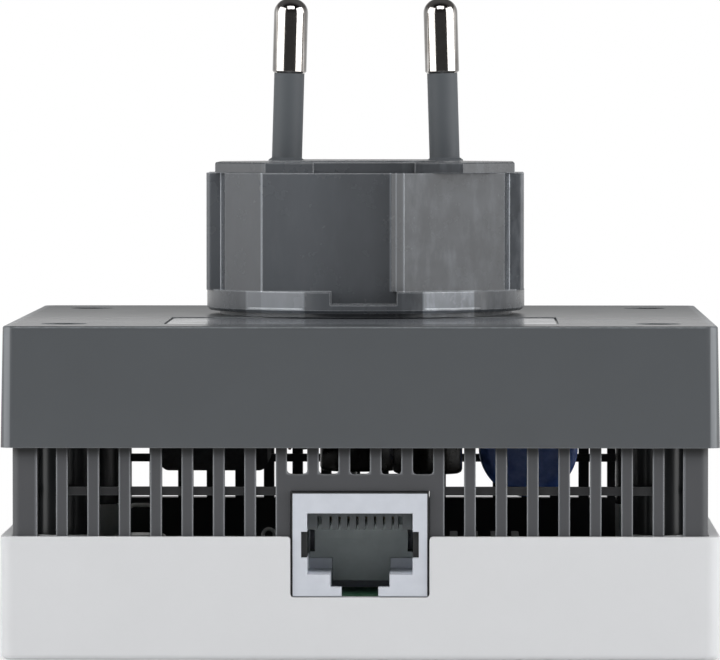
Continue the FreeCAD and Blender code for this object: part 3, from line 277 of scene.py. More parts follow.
def edge_mask(material, eased, start, stop):
    """Mask that is 1 on edges and 0 on flats."""
    geometry = add(material, "NewGeometry")
    lean = add(material, "VectorMath", operation="DOT_PRODUCT")
    join(material, eased, "Normal", lean, 0)
    join(material, geometry, "Normal", lean, 1)
    return spread(material, lean, "Value", 1 - start, 1 - stop)


def retone(material, shader, mask, factor):
    """Multiply the base colour by a grey where a mask holds."""
    source = shader.inputs["Base Color"].links[0].from_socket
    node = add(material, "Mix", data_type="RGBA", blend_type="MULTIPLY", clamp_result=False)
    join(material, mask, 0, node, 0)
    node.inputs[7].default_value = (factor, factor, factor, 1.0)
    material.node_tree.links.new(source, node.inputs[6])
    join(material, node, 2, shader, "Base Color")


def roughen(material, shader, mask, extra):
    """Add to the roughness where a mask holds."""
    source = shader.inputs["Roughness"].links[0].from_socket
    node = add(material, "Math", {1: extra}, operation="MULTIPLY_ADD")
    join(material, mask, 0, node, 0)
    material.node_tree.links.new(source, node.inputs[2])
    join(material, node, 0, shader, "Roughness")


def moulded(name, tone, edge_wear_and_highlight_tone, rough, texture_mm, texture_depth, ease_mm, mottling,
            gloss_change=0.06, edge_start=0.02, edge_stop=0.25, specular=0.5):
    """Moulded plastic: fine mould texture, slight mottling, edges lighter partly from wear and
    partly by a painted highlight.
    """
    material, shader = new_finish(name)
    shader.inputs["Specular IOR Level"].default_value = specular
    place = on_object(material)
    eased = eased_edges(material, ease_mm)
    cloud = grain(material, place, 9.0, 3.0, 0.6)
    dark = tuple(c * (1 - mottling) for c in tone[:3]) + (1.0,)
    light = tuple(c * (1 + mottling) for c in tone[:3]) + (1.0,)
    body = blend_colours(material, spread(material, cloud, "Fac", 0.3, 0.7), dark, light)
    # Lighter edges: part wear, part painted highlight where the rounded edges catch the light.
    edges = edge_mask(material, eased, edge_start, edge_stop)
    join(material, blend_colours(material, edges, body, edge_wear_and_highlight_tone), 2, shader, "Base Color")
    patches = grain(material, place, 4.0, 4.0, 0.65)
    glossed(material, shader, patches, 0.3, 0.7, rough - gloss_change / 2, rough + gloss_change / 2)
    fine = grain(material, place, texture_mm, 2.0, 0.55)
    relieved(material, shader, fine, eased, 0.35, texture_depth)
    return material, shader


# --- finishes ----------------------------------------------------------------------------
def cover_plastic():
    material, _ = moulded("cover_plastic", colour(209, 210, 212), colour(222, 223, 226),
                          0.42, 0.22, 0.010, ease_mm=0.18, mottling=0.012,
                          gloss_change=0.05, specular=0.45)
    return material


def shell_plastic():
    """Dark housing plastic: duller towards the back, with painted highlights on its corners and top
    rim, and painted shade inside.
    """
    material, shader = moulded("shell_plastic", colour(79, 82, 85), colour(124, 128, 131),
                               0.25, 0.16, 0.006, ease_mm=0.16, mottling=0.02,
                               gloss_change=0.02, edge_start=0.01, edge_stop=0.2)
    # Painted highlight on the rounded upright corners, where the side lamps catch them.
    painted_corner_highlight = on_both_sides(material, 39.05, 39.6)
    retone(material, shader, painted_corner_highlight, 1.9)
    back_of_top = all_of(material, beyond(material, "Y", -22.0, 36.0),
                         above(material, SHELL_TOP - 0.1, 0.2))
    roughen(material, shader, back_of_top, 0.12)
    # Painted highlight, broken by flecks, along the top rim, where the rounded edge catches the
    # lamp above.
    flecks = grain(material, on_object(material), 0.7, 2.0, 0.6)
    painted_rim_highlight = all_of(material, behind_outline(material, 0.35, 0.15),
                        above(material, SHELL_TOP - 0.01, 0.18),
                        spread(material, flecks, "Fac", 0.35, 0.65, 0.2, 1.0))
    retone(material, shader, painted_rim_highlight, 3.0)
    # Painted shade on the inner walls and pillars, inside the housing.
    inside = all_of(material, behind_outline(material, 0.9, 1.3),
                    below(material, SHELL_TOP - 1.8, 0.4))
    retone(material, shader, inside, 0.3)
    return material


def vent_plastic():
    """Dark plastic of the grille: painted highlights on the bar edges, painted shade behind the
    bars and painted shadow at the top, under the shell.
    """
    material, shader = moulded("vent_plastic", colour(70, 71, 74), colour(116, 119, 121),
                               0.42, 0.18, 0.008, ease_mm=0.2, mottling=0.03,
                               edge_start=0.01, edge_stop=0.14)
    # Painted shade, growing deeper behind the bars' faces.
    painted_recess_shade = behind_outline(material, 1.45, 2.3)
    retone(material, shader, painted_recess_shade, 0.48)
    # Painted highlight lines on the upright edges of the bars.
    retone(material, shader, bar_edges(material), 2.1)
    # Painted shadow of the shell's overhang on the tops of the bars.
    painted_overhang_shadow = above(material, 22.9, 0.8)
    retone(material, shader, painted_overhang_shadow, 0.18)
    return material


def plug_plastic():
    """Harder, glossier plastic of the plug, with fine scuffs from sockets, and painted light,
    shadow, reflections and highlights on its faces and edges.
    """
    material, shader = moulded("plug_plastic", colour(78, 81, 85), colour(140, 143, 147),
                               0.27, 0.20, 0.005, ease_mm=0.17, mottling=0.02,
                               gloss_change=0.02, edge_start=0.004, edge_stop=0.05)
    streaks = grain(material, on_object(material, stretch=(1, 1, 0.3)), 1.3, 5.0, 0.62)
    clouds = grain(material, on_object(material, shift=(0.013, 0.004, 0.007)), 4.5, 4.0, 0.6)
    worn_side = beyond(material, "X", 4.6, 5.4)
    dulled = all_of(material, spread(material, clouds, "Fac", 0.38, 0.62), worn_side)
    retone(material, shader, dulled, 0.74)
    scuffed = all_of(material, spread(material, streaks, "Fac", 0.46, 0.72), worn_side)
    retone(material, shader, scuffed, 1.55)
    retone(material, shader, spread(material, streaks, "Fac", 0.45, 0.8, 0.0, 0.5), 1.25)

    # Painted light on the front face, left of the middle.
    lighter = all_of(material, beyond(material, "X", -2.0, -7.0),
                     beyond(material, "X", -12.0, -11.9))
    retone(material, shader, lighter, 1.25)
    # Painted shadow cast by the raised step on the flat face beside it.
    painted_step_shadow = all_of(material, beyond(material, "X", 0.0, 3.0), beyond(material, "X", 4.5, 4.3))
    retone(material, shader, painted_step_shadow, 0.82)

    on_flange = below(material, FLANGE_TOP)
    # Painted reflections of the softboxes on two facets of the flange.
    for left, right, factor in ((-13.7, -6.9, 2.0), (6.9, 12.7, 2.8)):
        painted_facet_reflection = all_of(material, on_flange, window(material, left, right, 0.15))
        retone(material, shader, painted_facet_reflection, factor)

    on_body = all_of(material, above(material, FLANGE_TOP), below(material, PLUG_BODY_TOP))
    # Painted light on the plug's side ears.
    painted_light_on_ears = all_of(material, on_body, on_both_sides(material, 16.6, 30.0))
    retone(material, shader, painted_light_on_ears, 1.4)
    on_front = all_of(material, on_body, beyond(material, "Y", 4.0, 3.0))
    # Painted highlight lines along the upright edges and corners of the plug's front.
    for edges, factor in ((PLUG_EDGES, 2.6), (PLUG_CORNERS, 1.9)):
        for edge in edges:
            painted_edge_highlight = window(material, edge - 0.05, edge + 0.05, 0.06)
            retone(material, shader, all_of(material, on_front, painted_edge_highlight), factor)
    retone(material, shader, above(material, PLUG_BODY_TOP), 0.78)
    return material


def sleeve_plastic():
    material, _ = moulded("sleeve_plastic", colour(82, 86, 90), colour(96, 101, 104),
                          0.52, 0.25, 0.006, ease_mm=0.08, mottling=0.04, specular=0.35)
    return material


def pin_nickel():
    """Polished nickel plate with faint turning marks, traces of use and a painted dark reflection
    on the flanks.
    """
    material, shader = new_finish("pin_nickel")
    shader.inputs["Metallic"].default_value = 1.0
    tarnish = grain(material, on_object(material), 1.4, 4.0, 0.6)
    toned(material, shader, tarnish, 0.35, 0.75, colour(214, 211, 208), colour(184, 178, 172))
    # Painted dark reflection on both flanks of each pin.
    near, far = PIN_FLANK
    for middle in (-PIN_MIDDLE, PIN_MIDDLE):
        for left, right in ((middle - far, middle - near), (middle + near, middle + far)):
            retone(material, shader, window(material, left, right, 0.1), 0.38)
    glossed(material, shader, tarnish, 0.3, 0.8, 0.07, 0.16)
    turning_marks = grain(material, on_object(material, stretch=(0.02, 0.02, 1)), 0.05, 2.0, 0.7)
    relieved(material, shader, turning_marks, eased_edges(material, 0.05), 0.06, 0.004)
    return material


def socket_plastic():
    """Pale plastic of the network socket, with painted light that makes it lighter inside than on
    its face.
    """
    material, shader = new_finish("socket_plastic")
    place = on_object(material)
    cloud = grain(material, place, 2.0, 4.0, 0.6)
    toned(material, shader, cloud, 0.32, 0.68, colour(199, 203, 211), colour(193, 197, 205))
    # Painted light deeper inside the socket, where the cavity is in shade.
    retone(material, shader, beyond(material, "Y", -39.2, -38.2), 1.45)
    glossed(material, shader, cloud, 0.3, 0.7, 0.4, 0.5)
    fine = grain(material, place, 0.3, 3.0, 0.6)
    relieved(material, shader, fine, eased_edges(material, 0.12), 0.15, 0.02)
    return material


def insert_plastic():
    """Grey insert of the network socket, with painted light that makes its far end lighter than its
    comb.
    """
    material, shader = new_finish("insert_plastic")
    place = on_object(material)
    cloud = grain(material, place, 1.5, 4.0, 0.6)
    # Painted light: the insert goes from dark at its comb to light at its far end.
    painted_light_to_back = beyond(material, "Y", -38.0, -30.0)
    tone = blend_colours(material, painted_light_to_back, colour(67, 71, 73), colour(182, 190, 190))
    join(material, tone, 2, shader, "Base Color")
    retone(material, shader, spread(material, cloud, "Fac", 0.32, 0.68), 0.9)
    glossed(material, shader, cloud, 0.3, 0.7, 0.38, 0.5)
    fine = grain(material, place, 0.3, 3.0, 0.6)
    relieved(material, shader, fine, eased_edges(material, 0.06), 0.15, 0.02)
    return material


def clear_plastic():
    """Clear light pipe, faintly milky."""
    material, shader = new_finish("clear_plastic")
    shader.inputs["Transmission Weight"].default_value = 0.75
    shader.inputs["IOR"].default_value = 1.49
    haze = grain(material, on_object(material), 1.0, 3.0, 0.5)
    toned(material, shader, haze, 0.3, 0.7, colour(232, 236, 238), colour(216, 222, 226))
    glossed(material, shader, haze, 0.3, 0.7, 0.12, 0.24)
    return material


def plain_finish(name, first, second, smooth, rough, cloud_mm, metal=0.0, bump=0.15,
                 bump_depth=0.02, bump_mm=0.3):
    """Two close tones and two roughnesses mixed by clouds, with relief of its own scale."""
    material, shader = new_finish(name)
    shader.inputs["Metallic"].default_value = metal
    place = on_object(material)
    cloud = grain(material, place, cloud_mm, 4.0, 0.6)
    toned(material, shader, cloud, 0.32, 0.68, colour(*first), colour(*second))
    glossed(material, shader, cloud, 0.3, 0.7, smooth, rough)
    fine = grain(material, place, bump_mm, 3.0, 0.6)
    relieved(material, shader, fine, eased_edges(material, 0.08), bump, bump_depth)
    return material


# Two display colours, lowest and highest roughness, size of the clouds, and what differs.
PLAIN_FINISHES = {
    "label_film": ((112, 115, 120), (104, 107, 112), 0.15, 0.21, 3.0,
                   {"bump": 0.05, "bump_mm": 1.2}),
    "screw_steel": ((150, 148, 144), (120, 118, 116), 0.25, 0.45, 1.0, {"metal": 1.0}),
    "strap_brass": ((206, 176, 112), (176, 144, 84), 0.25, 0.4, 1.5, {"metal": 1.0}),
    "power_laminate": ((120, 104, 60), (104, 92, 56), 0.4, 0.55, 2.0, {}),
    "board_laminate": ((24, 82, 50), (16, 64, 40), 0.3, 0.42, 2.0, {}),
    "ferrite": ((44, 44, 46), (32, 32, 34), 0.6, 0.75, 0.6, {"bump": 0.3}),
    "winding_tape": ((62, 60, 36), (50, 48, 30), 0.25, 0.4, 2.0, {}),
    "black_plastic": ((34, 34, 35), (28, 28, 29), 0.4, 0.55, 1.0, {}),
    "enamelled_wire": ((150, 78, 40), (128, 62, 32), 0.2, 0.35, 1.0, {"metal": 0.7}),
    "capacitor_sleeve": ((38, 34, 28), (28, 26, 22), 0.18, 0.3, 3.0, {}),
    "film_box": ((70, 66, 62), (58, 56, 54), 0.4, 0.5, 2.0, {}),
    "varistor_lacquer": ((100, 134, 212), (74, 104, 186), 0.14, 0.28, 1.2,
                         {"bump": 0.8, "bump_depth": 0.2, "bump_mm": 1.3}),
    "tinned_metal": ((188, 188, 186), (160, 160, 160), 0.25, 0.4, 0.8, {"metal": 1.0}),
    "fuse_ceramic": ((208, 206, 198), (196, 192, 184), 0.3, 0.45, 1.5, {}),
    "sink_aluminium": ((28, 29, 31), (22, 23, 25), 0.45, 0.6, 1.0, {"metal": 0.3}),
    "contact_metal": ((136, 126, 98), (118, 108, 84), 0.3, 0.42, 0.8, {"metal": 0.9}),
    "bridge_wire": ((246, 246, 244), (232, 232, 232), 0.16, 0.26, 0.8, {"metal": 0.4}),
    "led_resin": ((226, 222, 176), (214, 210, 166), 0.2, 0.3, 0.8, {}),
}

# The CAD nodes that each finish goes on.
DRESSED = {
    "cover_plastic": ["front_cover", "pair_button"],
    "shell_plastic": ["back_shell"],
    "vent_plastic": ["vent_frame"],
    "plug_plastic": ["plug_body", "plug_cap"],
    "sleeve_plastic": ["pin_sleeve_left", "pin_sleeve_right"],
    "pin_nickel": ["pin_left", "pin_right"],
    "label_film": ["rating_label"],
    "screw_steel": ["case_screws", "board_screws"],
    "strap_brass": ["pin_strap_left", "pin_strap_right"],
    "power_laminate": ["power_board"],
    "board_laminate": ["main_board"],
    "ferrite": ["transformer_core", "choke_core"],
    "winding_tape": ["transformer_winding"],
    "black_plastic": ["transformer_bobbin", "rectifier", "coupling_transformer",
                      "network_transformer", "main_chip", "memory_chip", "flash_chip",
                      "header_base", "header_socket", "switch_body", "switch_plunger",
                      "jack_rails"],
    "enamelled_wire": ["choke_windings"],
    "capacitor_sleeve": ["bulk_capacitors"],
    "film_box": ["film_capacitor"],
    "varistor_lacquer": ["varistor"],
    "tinned_metal": ["varistor_leads", "fuse_caps", "header_pins", "crystal",
                     "surface_capacitors"],
    "fuse_ceramic": ["fuse_tube"],
    "sink_aluminium": ["heat_plate", "heat_sink"],
    "contact_metal": ["jack_contacts"],
    "socket_plastic": ["jack_housing"],
    "insert_plastic": ["jack_insert"],
    "led_resin": ["status_leds"],
    "clear_plastic": ["light_pipe"],
}


def make_finishes():
    """Every finish of the adapter, by name."""
    made = {make.__name__: make() for make in (
        cover_plastic, shell_plastic, vent_plastic, plug_plastic, sleeve_plastic,
        pin_nickel, socket_plastic, insert_plastic, clear_plastic)}
    for name, (first, second, smooth, rough, cloud_mm, changes) in PLAIN_FINISHES.items():
        made[name] = plain_finish(name, first, second, smooth, rough, cloud_mm, **changes)
    return made


def dress_nodes(made):
    """Give every CAD node its finish."""
    for name, nodes in DRESSED.items():
        for node in nodes:
            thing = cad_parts[node]
            thing.data.materials.clear()
            thing.data.materials.append(made[name])
    bare = set(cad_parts) - {node for nodes in DRESSED.values() for node in nodes}
    assert not bare, bare


# --- modelling helpers -------------------------------------------------------------------
def box_mm(node):
    """A CAD node's lowest and highest corners, in millimetres."""
    return [[value / MM for value in corner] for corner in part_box(node)]


POWER_BOARD_LOW = box_mm("power_board")[0][2]
MAIN_BOARD_TOP = box_mm("main_board")[1][2]


def clear_selection():
    if bpy.context.mode != "OBJECT":
        bpy.ops.object.mode_set(mode="OBJECT")
    bpy.ops.object.select_all(action="DESELECT")


def pick(*things):
    """Select these objects alone; the last one is active."""
    clear_selection()
    for thing in things:
        thing.select_set(True)
        bpy.context.view_layer.objects.active = thing


def delete(thing):
    pick(thing)
    bpy.ops.object.delete()


def apply_place():
    """Move the selected object's place, turn and size into its mesh."""
    bpy.ops.object.transform_apply(location=True, rotation=True, scale=True)


def edit_all():
    """Go to edit mode with the whole mesh selected."""
    bpy.ops.object.mode_set(mode="EDIT")
    bpy.ops.mesh.select_all(action="SELECT")


def leave_edit():
    """Turn all faces outwards and leave edit mode."""
    bpy.ops.mesh.select_all(action="SELECT")
    bpy.ops.mesh.normals_make_consistent(inside=False)
    bpy.ops.object.mode_set(mode="OBJECT")


def pick_faces(thing, wanted):
    """In edit mode, select the faces whose normal passes a test."""
    bpy.ops.mesh.select_all(action="DESELECT")
    mesh = bmesh.from_edit_mesh(thing.data)
    for face in mesh.faces:
        face.select_set(wanted(face.normal))
    mesh.select_flush_mode()
    bmesh.update_edit_mesh(thing.data)


def extrude(x_mm, z_mm):
    """Extrude what is selected, to the right and upwards."""
    bpy.ops.mesh.extrude_region_move(
        TRANSFORM_OT_translate={"value": (x_mm * MM, 0, z_mm * MM)})


def bend_right(x_mm, z_mm):
    """Sweep what is selected a quarter turn about a point of the plane Y = 0."""
    bpy.ops.mesh.spin(steps=6, angle=math.radians(-90), axis=(0, 1, 0), dupli=False,
                      center=(x_mm * MM, 0, z_mm * MM))


def disc(x, y, z, radius, sides):
    """Flat round face to extrude from, its place in its mesh."""
    clear_selection()
    bpy.ops.mesh.primitive_circle_add(vertices=sides, radius=radius * MM, fill_type="NGON",
                                      location=(x * MM, y * MM, z * MM))
    apply_place()
    return bpy.context.object


def turned(profile, x, y, sides):
    """Round piece raised from a disc by extruding and scaling along an upright profile."""
    radius, z = profile[0]
    piece = disc(x, y, z, radius, sides)
    edit_all()
    for next_radius, next_z in profile[1:]:
        extrude(0, next_z - z)
        ratio = next_radius / radius
        bpy.ops.transform.resize(value=(ratio, ratio, 1),
                                 center_override=(x * MM, y * MM, next_z * MM))
        radius, z = next_radius, next_z
    leave_edit()
    return piece


def wire_loop(width, depth, corner, wire_radius):
    """Closed rounded loop of round wire, flat in plan, about the origin."""
    clear_selection()
    bpy.ops.mesh.primitive_plane_add(size=1)
    loop = bpy.context.object
    loop.scale = (width * MM, depth * MM, 1)
    apply_place()
    edit_all()
    bpy.ops.mesh.delete(type="ONLY_FACE")
    bpy.ops.mesh.select_all(action="SELECT")
    bpy.ops.mesh.bevel(offset=corner * MM, segments=4, affect="VERTICES")
    bpy.ops.object.mode_set(mode="OBJECT")
    bpy.ops.object.convert(target="CURVE")
    loop.data.bevel_depth = wire_radius * MM
    loop.data.bevel_resolution = 2
    bpy.ops.object.convert(target="MESH")
    return bpy.context.object


def placed(thing, place, turn=(0, 0, 0)):
    """Move and turn a thing, with its new place in its mesh."""
    thing.location = tuple(value * MM for value in place)
    thing.rotation_euler = tuple(math.radians(value) for value in turn)
    pick(thing)
    apply_place()
    return thing


def placed_copy(thing, place, turn=(0, 0, 0)):
    """A copy with its own mesh, moved and turned."""
    again = thing.copy()
    again.data = thing.data.copy()
    bpy.context.scene.collection.objects.link(again)
    return placed(again, place, turn)


def placed_cube(size, place, turn=(0, 0, 0)):
    """A block of three lengths, moved and turned, to shape or to cut with."""
    clear_selection()
    bpy.ops.mesh.primitive_cube_add(size=1)
    cube = bpy.context.object
    cube.scale = tuple(value * MM for value in size)
    return placed(cube, place, turn)


def joined(pieces):
    pick(*pieces)
    bpy.ops.object.join()
    return bpy.context.object


def settle(piece, name, finish, smooth=40):
    """Finish a piece: place, shading, name, material and the body it rides on."""
    pick(piece)
    apply_place()
    bpy.ops.object.shade_smooth_by_angle(angle=math.radians(smooth))
    piece.name = name
    piece.data.name = name
    piece.data.materials.clear()
    piece.data.materials.append(finish)
    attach(piece, "adapter")
    return piece


# --- modelled pieces ---------------------------------------------------------------------
def wind_choke(made):
    """Wire turns round the ring core, in two windings, with their four leads."""
    low, high = box_mm("choke_windings")
    x, y = [(low[i] + high[i]) / 2 for i in (0, 1)]
    outer, half = (high[0] - low[0]) / 2, (high[1] - low[1]) / 2
    axis_z = low[2] + outer
    wire, hole, corner = 0.22, 1.6, 0.45
    turns_a_side, step_angle, lead_angle = 9, 16.5, math.radians(66)
    inner_line, outer_line = hole + wire, outer - wire

    turn = wire_loop(outer_line - inner_line, 2 * (half - wire), corner, wire)
    placed(turn, ((outer_line + inner_line) / 2, 0, 0))
    wires = []
    for side in (0, 180):
        for step in range(turns_a_side):
            angle = side + (step - (turns_a_side - 1) / 2) * step_angle
            wires.append(placed_copy(turn, (x, y, axis_z), (0, angle, 0)))
    delete(turn)

    lead_x = outer_line * math.cos(lead_angle)
    lead_z = axis_z + outer_line * math.sin(lead_angle)
    lead = [(wire, lead_z), (wire, lead_z + 0.8), (wire * 1.25, POWER_BOARD_LOW - 0.5),
            (wire * 2.2, POWER_BOARD_LOW)]
    for side_x in (-1, 1):
        for side_y in (-1, 1):
            wires.append(turned(lead, x + side_x * lead_x, y + side_y * (half - wire), 12))
    piece = settle(joined(wires), "choke_turns", made["enamelled_wire"])
    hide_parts("choke_windings")


def wind_transformer(made):
    """Layers of wire that bulge from both ends of the taped winding."""
    low, high = box_mm("transformer_winding")
    x, y, middle_z = [(low[i] + high[i]) / 2 for i in range(3)]
    width, depth, height = [high[i] - low[i] for i in range(3)]
    wire, sunk, corner, margin = 0.21, 0.15, 1.1, 0.5
    pitch = 2 * wire + 0.02
    turn = wire_loop(width - 2 * sunk, depth - 2 * sunk, corner, wire)
    count = int((height - margin) / pitch)
    loops = [placed_copy(turn, (x, y, middle_z + (i - (count - 1) / 2) * pitch))
             for i in range(count)]
    delete(turn)
    settle(joined(loops), "transformer_turns", made["winding_tape"])


# A can's outline: how far in from its radius, and how far from its lower or upper end.
CAN_BARE_END = ((0.95, 0.12), (0.9, 0.1), (0.85, 0.0), (0.45, 0.0), (0.13, 0.17), (0.0, 0.5))
CAN_CRIMP = ((0.0, 3.1), (0.12, 2.8), (0.34, 2.5), (0.34, 2.2), (0.12, 1.9), (0.0, 1.6))
CAN_SEAL = ((0.0, 1.05), (0.2, 0.9), (0.9, 0.9), (0.9, 0.3), (1.1, 0.0))


def make_can(name, x, y, radius, length, made):
    """Electrolytic capacitor hanging from the board: sleeve, crimp, bare scored end."""
    low = POWER_BOARD_LOW - length
    profile = [(radius - inset, low + rise) for inset, rise in CAN_BARE_END]
    profile += [(radius - inset, POWER_BOARD_LOW - drop) for inset, drop in CAN_CRIMP + CAN_SEAL]
    can = turned(profile, x, y, 56)

    bar = ((radius - 1.4) * 2, 0.16, 0.2)
    bar_z = low + 0.12
    cross = joined([placed_cube(bar, (x, y, bar_z), (0, 0, angle)) for angle in (25, 115)])
    pick(can)
    cut = can.modifiers.new("scores", "BOOLEAN")
    cut.operation, cut.object, cut.solver = "DIFFERENCE", cross, "EXACT"
    cut.use_self = True
    bpy.ops.object.modifier_apply(modifier=cut.name)
    delete(cross)

    settle(can, name, made["capacitor_sleeve"], smooth=30)
    can.data.materials.append(made["tinned_metal"])
    bare_radius, bare_top = radius - 0.8, low + 0.5
    for face in can.data.polygons:
        reach = math.hypot(face.center.x - x * MM, face.center.y - y * MM)
        if reach < bare_radius * MM and face.center.z < bare_top * MM:
            face.material_index = 1
    return can


def make_cans(made):
    """The two bulk capacitors, in opposite corners of their node's box."""
    low, high = box_mm("bulk_capacitors")
    rear_radius, rear_length = 4.6, 12.2
    front_radius, front_length = 4.0, 11.85
    assert abs(POWER_BOARD_LOW - rear_length - low[2]) < 0.45, "the rear can's length"
    large = make_can("bulk_capacitor_rear", low[0] + rear_radius, high[1] - rear_radius,
                     rear_radius, rear_length, made)
    small = make_can("bulk_capacitor_front", high[0] - front_radius, low[1] + front_radius,
                     front_radius, front_length, made)
    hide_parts("bulk_capacitors")
    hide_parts("bulk_capacitors")


def lacquer_runs(made):
    """Lacquer that has run up the varistor's leads, thick at the disc."""
    low, high = box_mm("varistor")
    x, y, top = (low[0] + high[0]) / 2, (low[1] + high[1]) / 2, high[2]
    lead_side = 2.5
    outline = [(radius, top + rise) for radius, rise in (
        (1.15, -1.9), (1.1, -1.2), (0.85, -0.5), (0.66, 0.3), (0.54, 1.1), (0.47, 1.6),
        (0.42, 1.7))]
    runs = [turned(outline, x + side * lead_side, y, 20) for side in (-1, 1)]
    settle(joined(runs), "varistor_runs", made["varistor_lacquer"], smooth=60)


def wire_bridge(name, x, y, top_z, span, radius, made):
    """Bent bridge of bare wire standing on the main board."""
    bend = 3 * radius
    bend_z = top_z - radius - bend
    wire = disc(-span / 2, 0, MAIN_BOARD_TOP, radius, 14)
    edit_all()
    extrude(0, bend_z - MAIN_BOARD_TOP)
    bend_right(-span / 2 + bend, bend_z)
    if span > 2 * bend:
        extrude(span - 2 * bend, 0)
    bend_right(span / 2 - bend, bend_z)
    extrude(0, MAIN_BOARD_TOP - bend_z)
    leave_edit()
    placed(wire, (x, y, 0))
    settle(wire, name, made["bridge_wire"], smooth=60)


def shade_sheet_round_socket(made):
    """Dark sheet round the network socket, standing in for the shade in the gap in the mouldings,
    most of which it fills.
    """
    low, high = box_mm("jack_housing")
    thick, setback, length, upright = 0.19, 0.35, 2.2, 0.9
    shade_sheet = placed_cube((high[0] - low[0], length, high[2] - low[2]),
                       ((low[0] + high[0]) / 2, low[1] + setback + length / 2,
                        (low[2] + high[2]) / 2))
    bpy.ops.object.mode_set(mode="EDIT")
    bpy.ops.mesh.select_mode(type="FACE")
    pick_faces(shade_sheet, lambda normal: abs(normal.y) > upright or normal.z < -upright)
    bpy.ops.mesh.delete(type="ONLY_FACE")
    bpy.ops.mesh.select_mode(type="VERT")
    leave_edit()
    pick(shade_sheet)
    wall = shade_sheet.modifiers.new("wall", "SOLIDIFY")
    wall.thickness, wall.offset = thick * MM, 1.0
    wall.use_even_offset = True
    bpy.ops.object.modifier_apply(modifier=wall.name)
    assert len(shade_sheet.data.polygons) == 14, "three walls with two faces each, and eight rims"
    # A dark sheet standing in for the shade in the gap round the socket.
    settle(shade_sheet, "socket_shade_sheet", made["black_plastic"])


def model_pieces(made):
    wind_choke(made)
    wind_transformer(made)
    make_cans(made)
    lacquer_runs(made)
    shade_sheet_round_socket(made)
    wire_bridge("bridge_front", -10.4, -30.0, 14.25, 1.3, 0.22, made)
    wire_bridge("bridge_side", -26.4, 8.0, 14.75, 3.4, 0.25, made)


# --- studio, in metres -------------------------------------------------------------------
CENTRE = (0, 0, 0.04)
CAMERA_PLACE, CAMERA_AIM = (0.0114, -0.810, 0.0622), (0.00002, -0.040, 0.0368)

# Azimuth, elevation and distance from the centre, width, height, brightness.
SOFTBOXES = {
    "softbox_left": (-68, 4, 0.55, 0.56, 0.80, 2.3),
    "softbox_right": (70, 4, 0.55, 0.56, 0.80, 2.85),
    "softbox_above": (0, 48, 0.6, 0.44, 0.24, 4.0),
}


def stand(name, data, place, aim):
    """Put a lamp or camera at a place, turned towards another."""
    thing = bpy.data.objects.new(name, data)
    bpy.context.scene.collection.objects.link(thing)
    thing.location = place
    thing.rotation_euler = (Vector(aim) - Vector(place)).to_track_quat("-Z", "Y").to_euler()
    return thing


def around(azimuth, elevation, distance):
    """A place round the centre: azimuth 0 is in front, 90 to the right."""
    a, e = math.radians(azimuth), math.radians(elevation)
    return (distance * math.sin(a) * math.cos(e), -distance * math.cos(a) * math.cos(e),
            distance * math.sin(e) + CENTRE[2])


def softbox(name, place, width, height, brightness):
    light = bpy.data.lights.new(name, "AREA")
    light.shape = "RECTANGLE"
    light.size, light.size_y = width, height
    light.energy = brightness * width * height * math.pi
    stand(name, light, place, CENTRE).visible_camera = False


def rays(material, first, *others):
    """Mask of the light rays of these kinds, of which there are two or more."""
    paths = add(material, "LightPath")
    mask, output = paths, first
    for kind in others:
        larger = add(material, "Math", operation="MAXIMUM")
        join(material, mask, output, larger, 0)
        join(material, paths, kind, larger, 1)
        mask, output = larger, "Value"
    return mask


def room(world, split, front, rear, ceiling_start, ceiling_stop, ceiling):
    """Brightness by direction: dark in front, pale behind the adapter, dimmed above."""
    walls = spread(world, split, "Y", -0.3, 0.2, front, rear)
    upwards = spread(world, split, "Z", ceiling_start, ceiling_stop, 1.0, ceiling)
    return all_of(world, walls, upwards)


def choose(world, mask, output, first, second):
    """First brightness where the mask is 0, second where it is 1; a number or a node."""
    mix = add(world, "Mix", data_type="FLOAT")
    join(world, mask, output, mix, 0)
    for socket, value in ((2, first), (3, second)):
        if isinstance(value, float):
            mix.inputs[socket].default_value = value
        else:
            join(world, value, 0, mix, socket)
    return mix


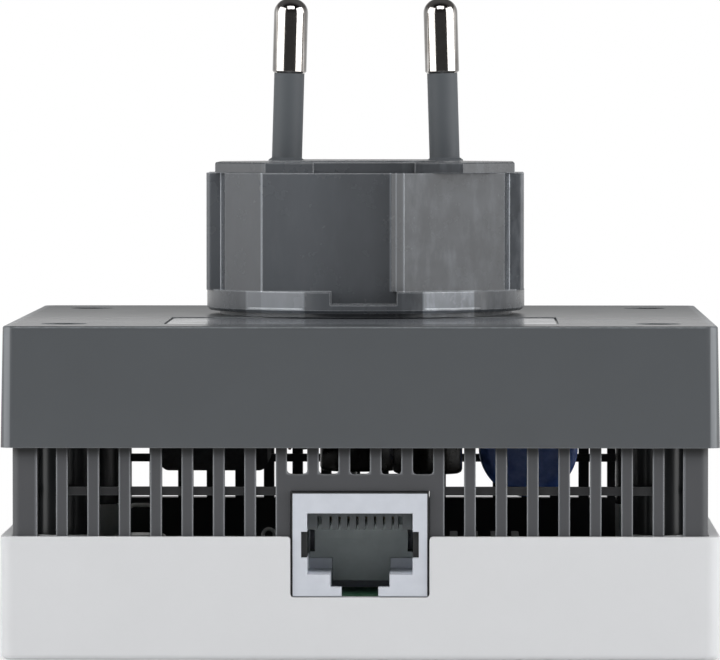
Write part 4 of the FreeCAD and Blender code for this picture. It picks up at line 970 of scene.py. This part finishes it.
def light_the_studio():
    for name, (azimuth, elevation, distance, *rest) in SOFTBOXES.items():
        softbox(name, around(azimuth, elevation, distance), *rest)

    world = empty_nodes(bpy.data.worlds.new("studio"))
    bpy.context.scene.world = world
    output = add(world, "OutputWorld")
    back = add(world, "Background", {"Color": (1, 1, 1, 1)})
    join(world, back, "Background", output, "Surface")
    direction = add(world, "TexCoord")
    split = add(world, "SeparateXYZ")
    join(world, direction, "Generated", split, "Vector")
    lit = room(world, split, 0.20, 1.0, 0.35, 0.8, 0.4)
    mirrored = room(world, split, 0.045, 0.85, 0.08, 0.45, 0.12)
    paths = add(world, "LightPath")
    object_light = choose(world, paths, "Is Glossy Ray", lit, mirrored)
    seen = rays(world, "Is Camera Ray", "Is Transmission Ray")
    join(world, choose(world, seen, "Value", object_light, 1.0), 0, back, "Strength")


def lay_the_floor():
    """White floor that takes the adapter's shadow close by and is plain white further off."""
    gap, shadow_start, shadow_stop, glow_near = 0.00002, 0.05, 0.20, 0.45
    clear_selection()
    bpy.ops.mesh.primitive_circle_add(vertices=96, radius=0.5, fill_type="NGON",
                                      location=(0, 0, cad_box[0][2] - gap))
    floor = bpy.context.object
    floor.name = "floor"
    material = empty_nodes(bpy.data.materials.new("floor_white"))
    output = add(material, "OutputMaterial")
    paper = add(material, "BsdfDiffuse", {"Color": (0.86, 0.86, 0.86, 1)})
    glow = add(material, "Emission", {"Color": (1, 1, 1, 1), "Strength": 1.0})
    seen = rays(material, "Is Camera Ray", "Is Glossy Ray", "Is Transmission Ray")
    place = add(material, "TexCoord")
    far = add(material, "VectorMath", operation="LENGTH")
    join(material, place, "Object", far, 0)
    fade = spread(material, far, "Value", shadow_start, shadow_stop, glow_near, 1.0)
    mix = add(material, "MixShader")
    join(material, all_of(material, seen, fade), 0, mix, 0)
    join(material, paper, "BSDF", mix, 1)
    join(material, glow, "Emission", mix, 2)
    join(material, mix, 0, output, "Surface")
    floor.data.materials.append(material)


def set_the_camera():
    view = bpy.data.cameras.new("camera")
    view.sensor_fit = "HORIZONTAL"
    view.sensor_width = 36.0
    view.lens = 346.6
    view.clip_start, view.clip_end = 0.05, 20.0
    bpy.context.scene.camera = stand("camera", view, CAMERA_PLACE, CAMERA_AIM)


bpy.context.scene.view_settings.view_transform = "Standard"
set_the_camera()
light_the_studio()
lay_the_floor()
finishes = make_finishes()
dress_nodes(finishes)
model_pieces(finishes)
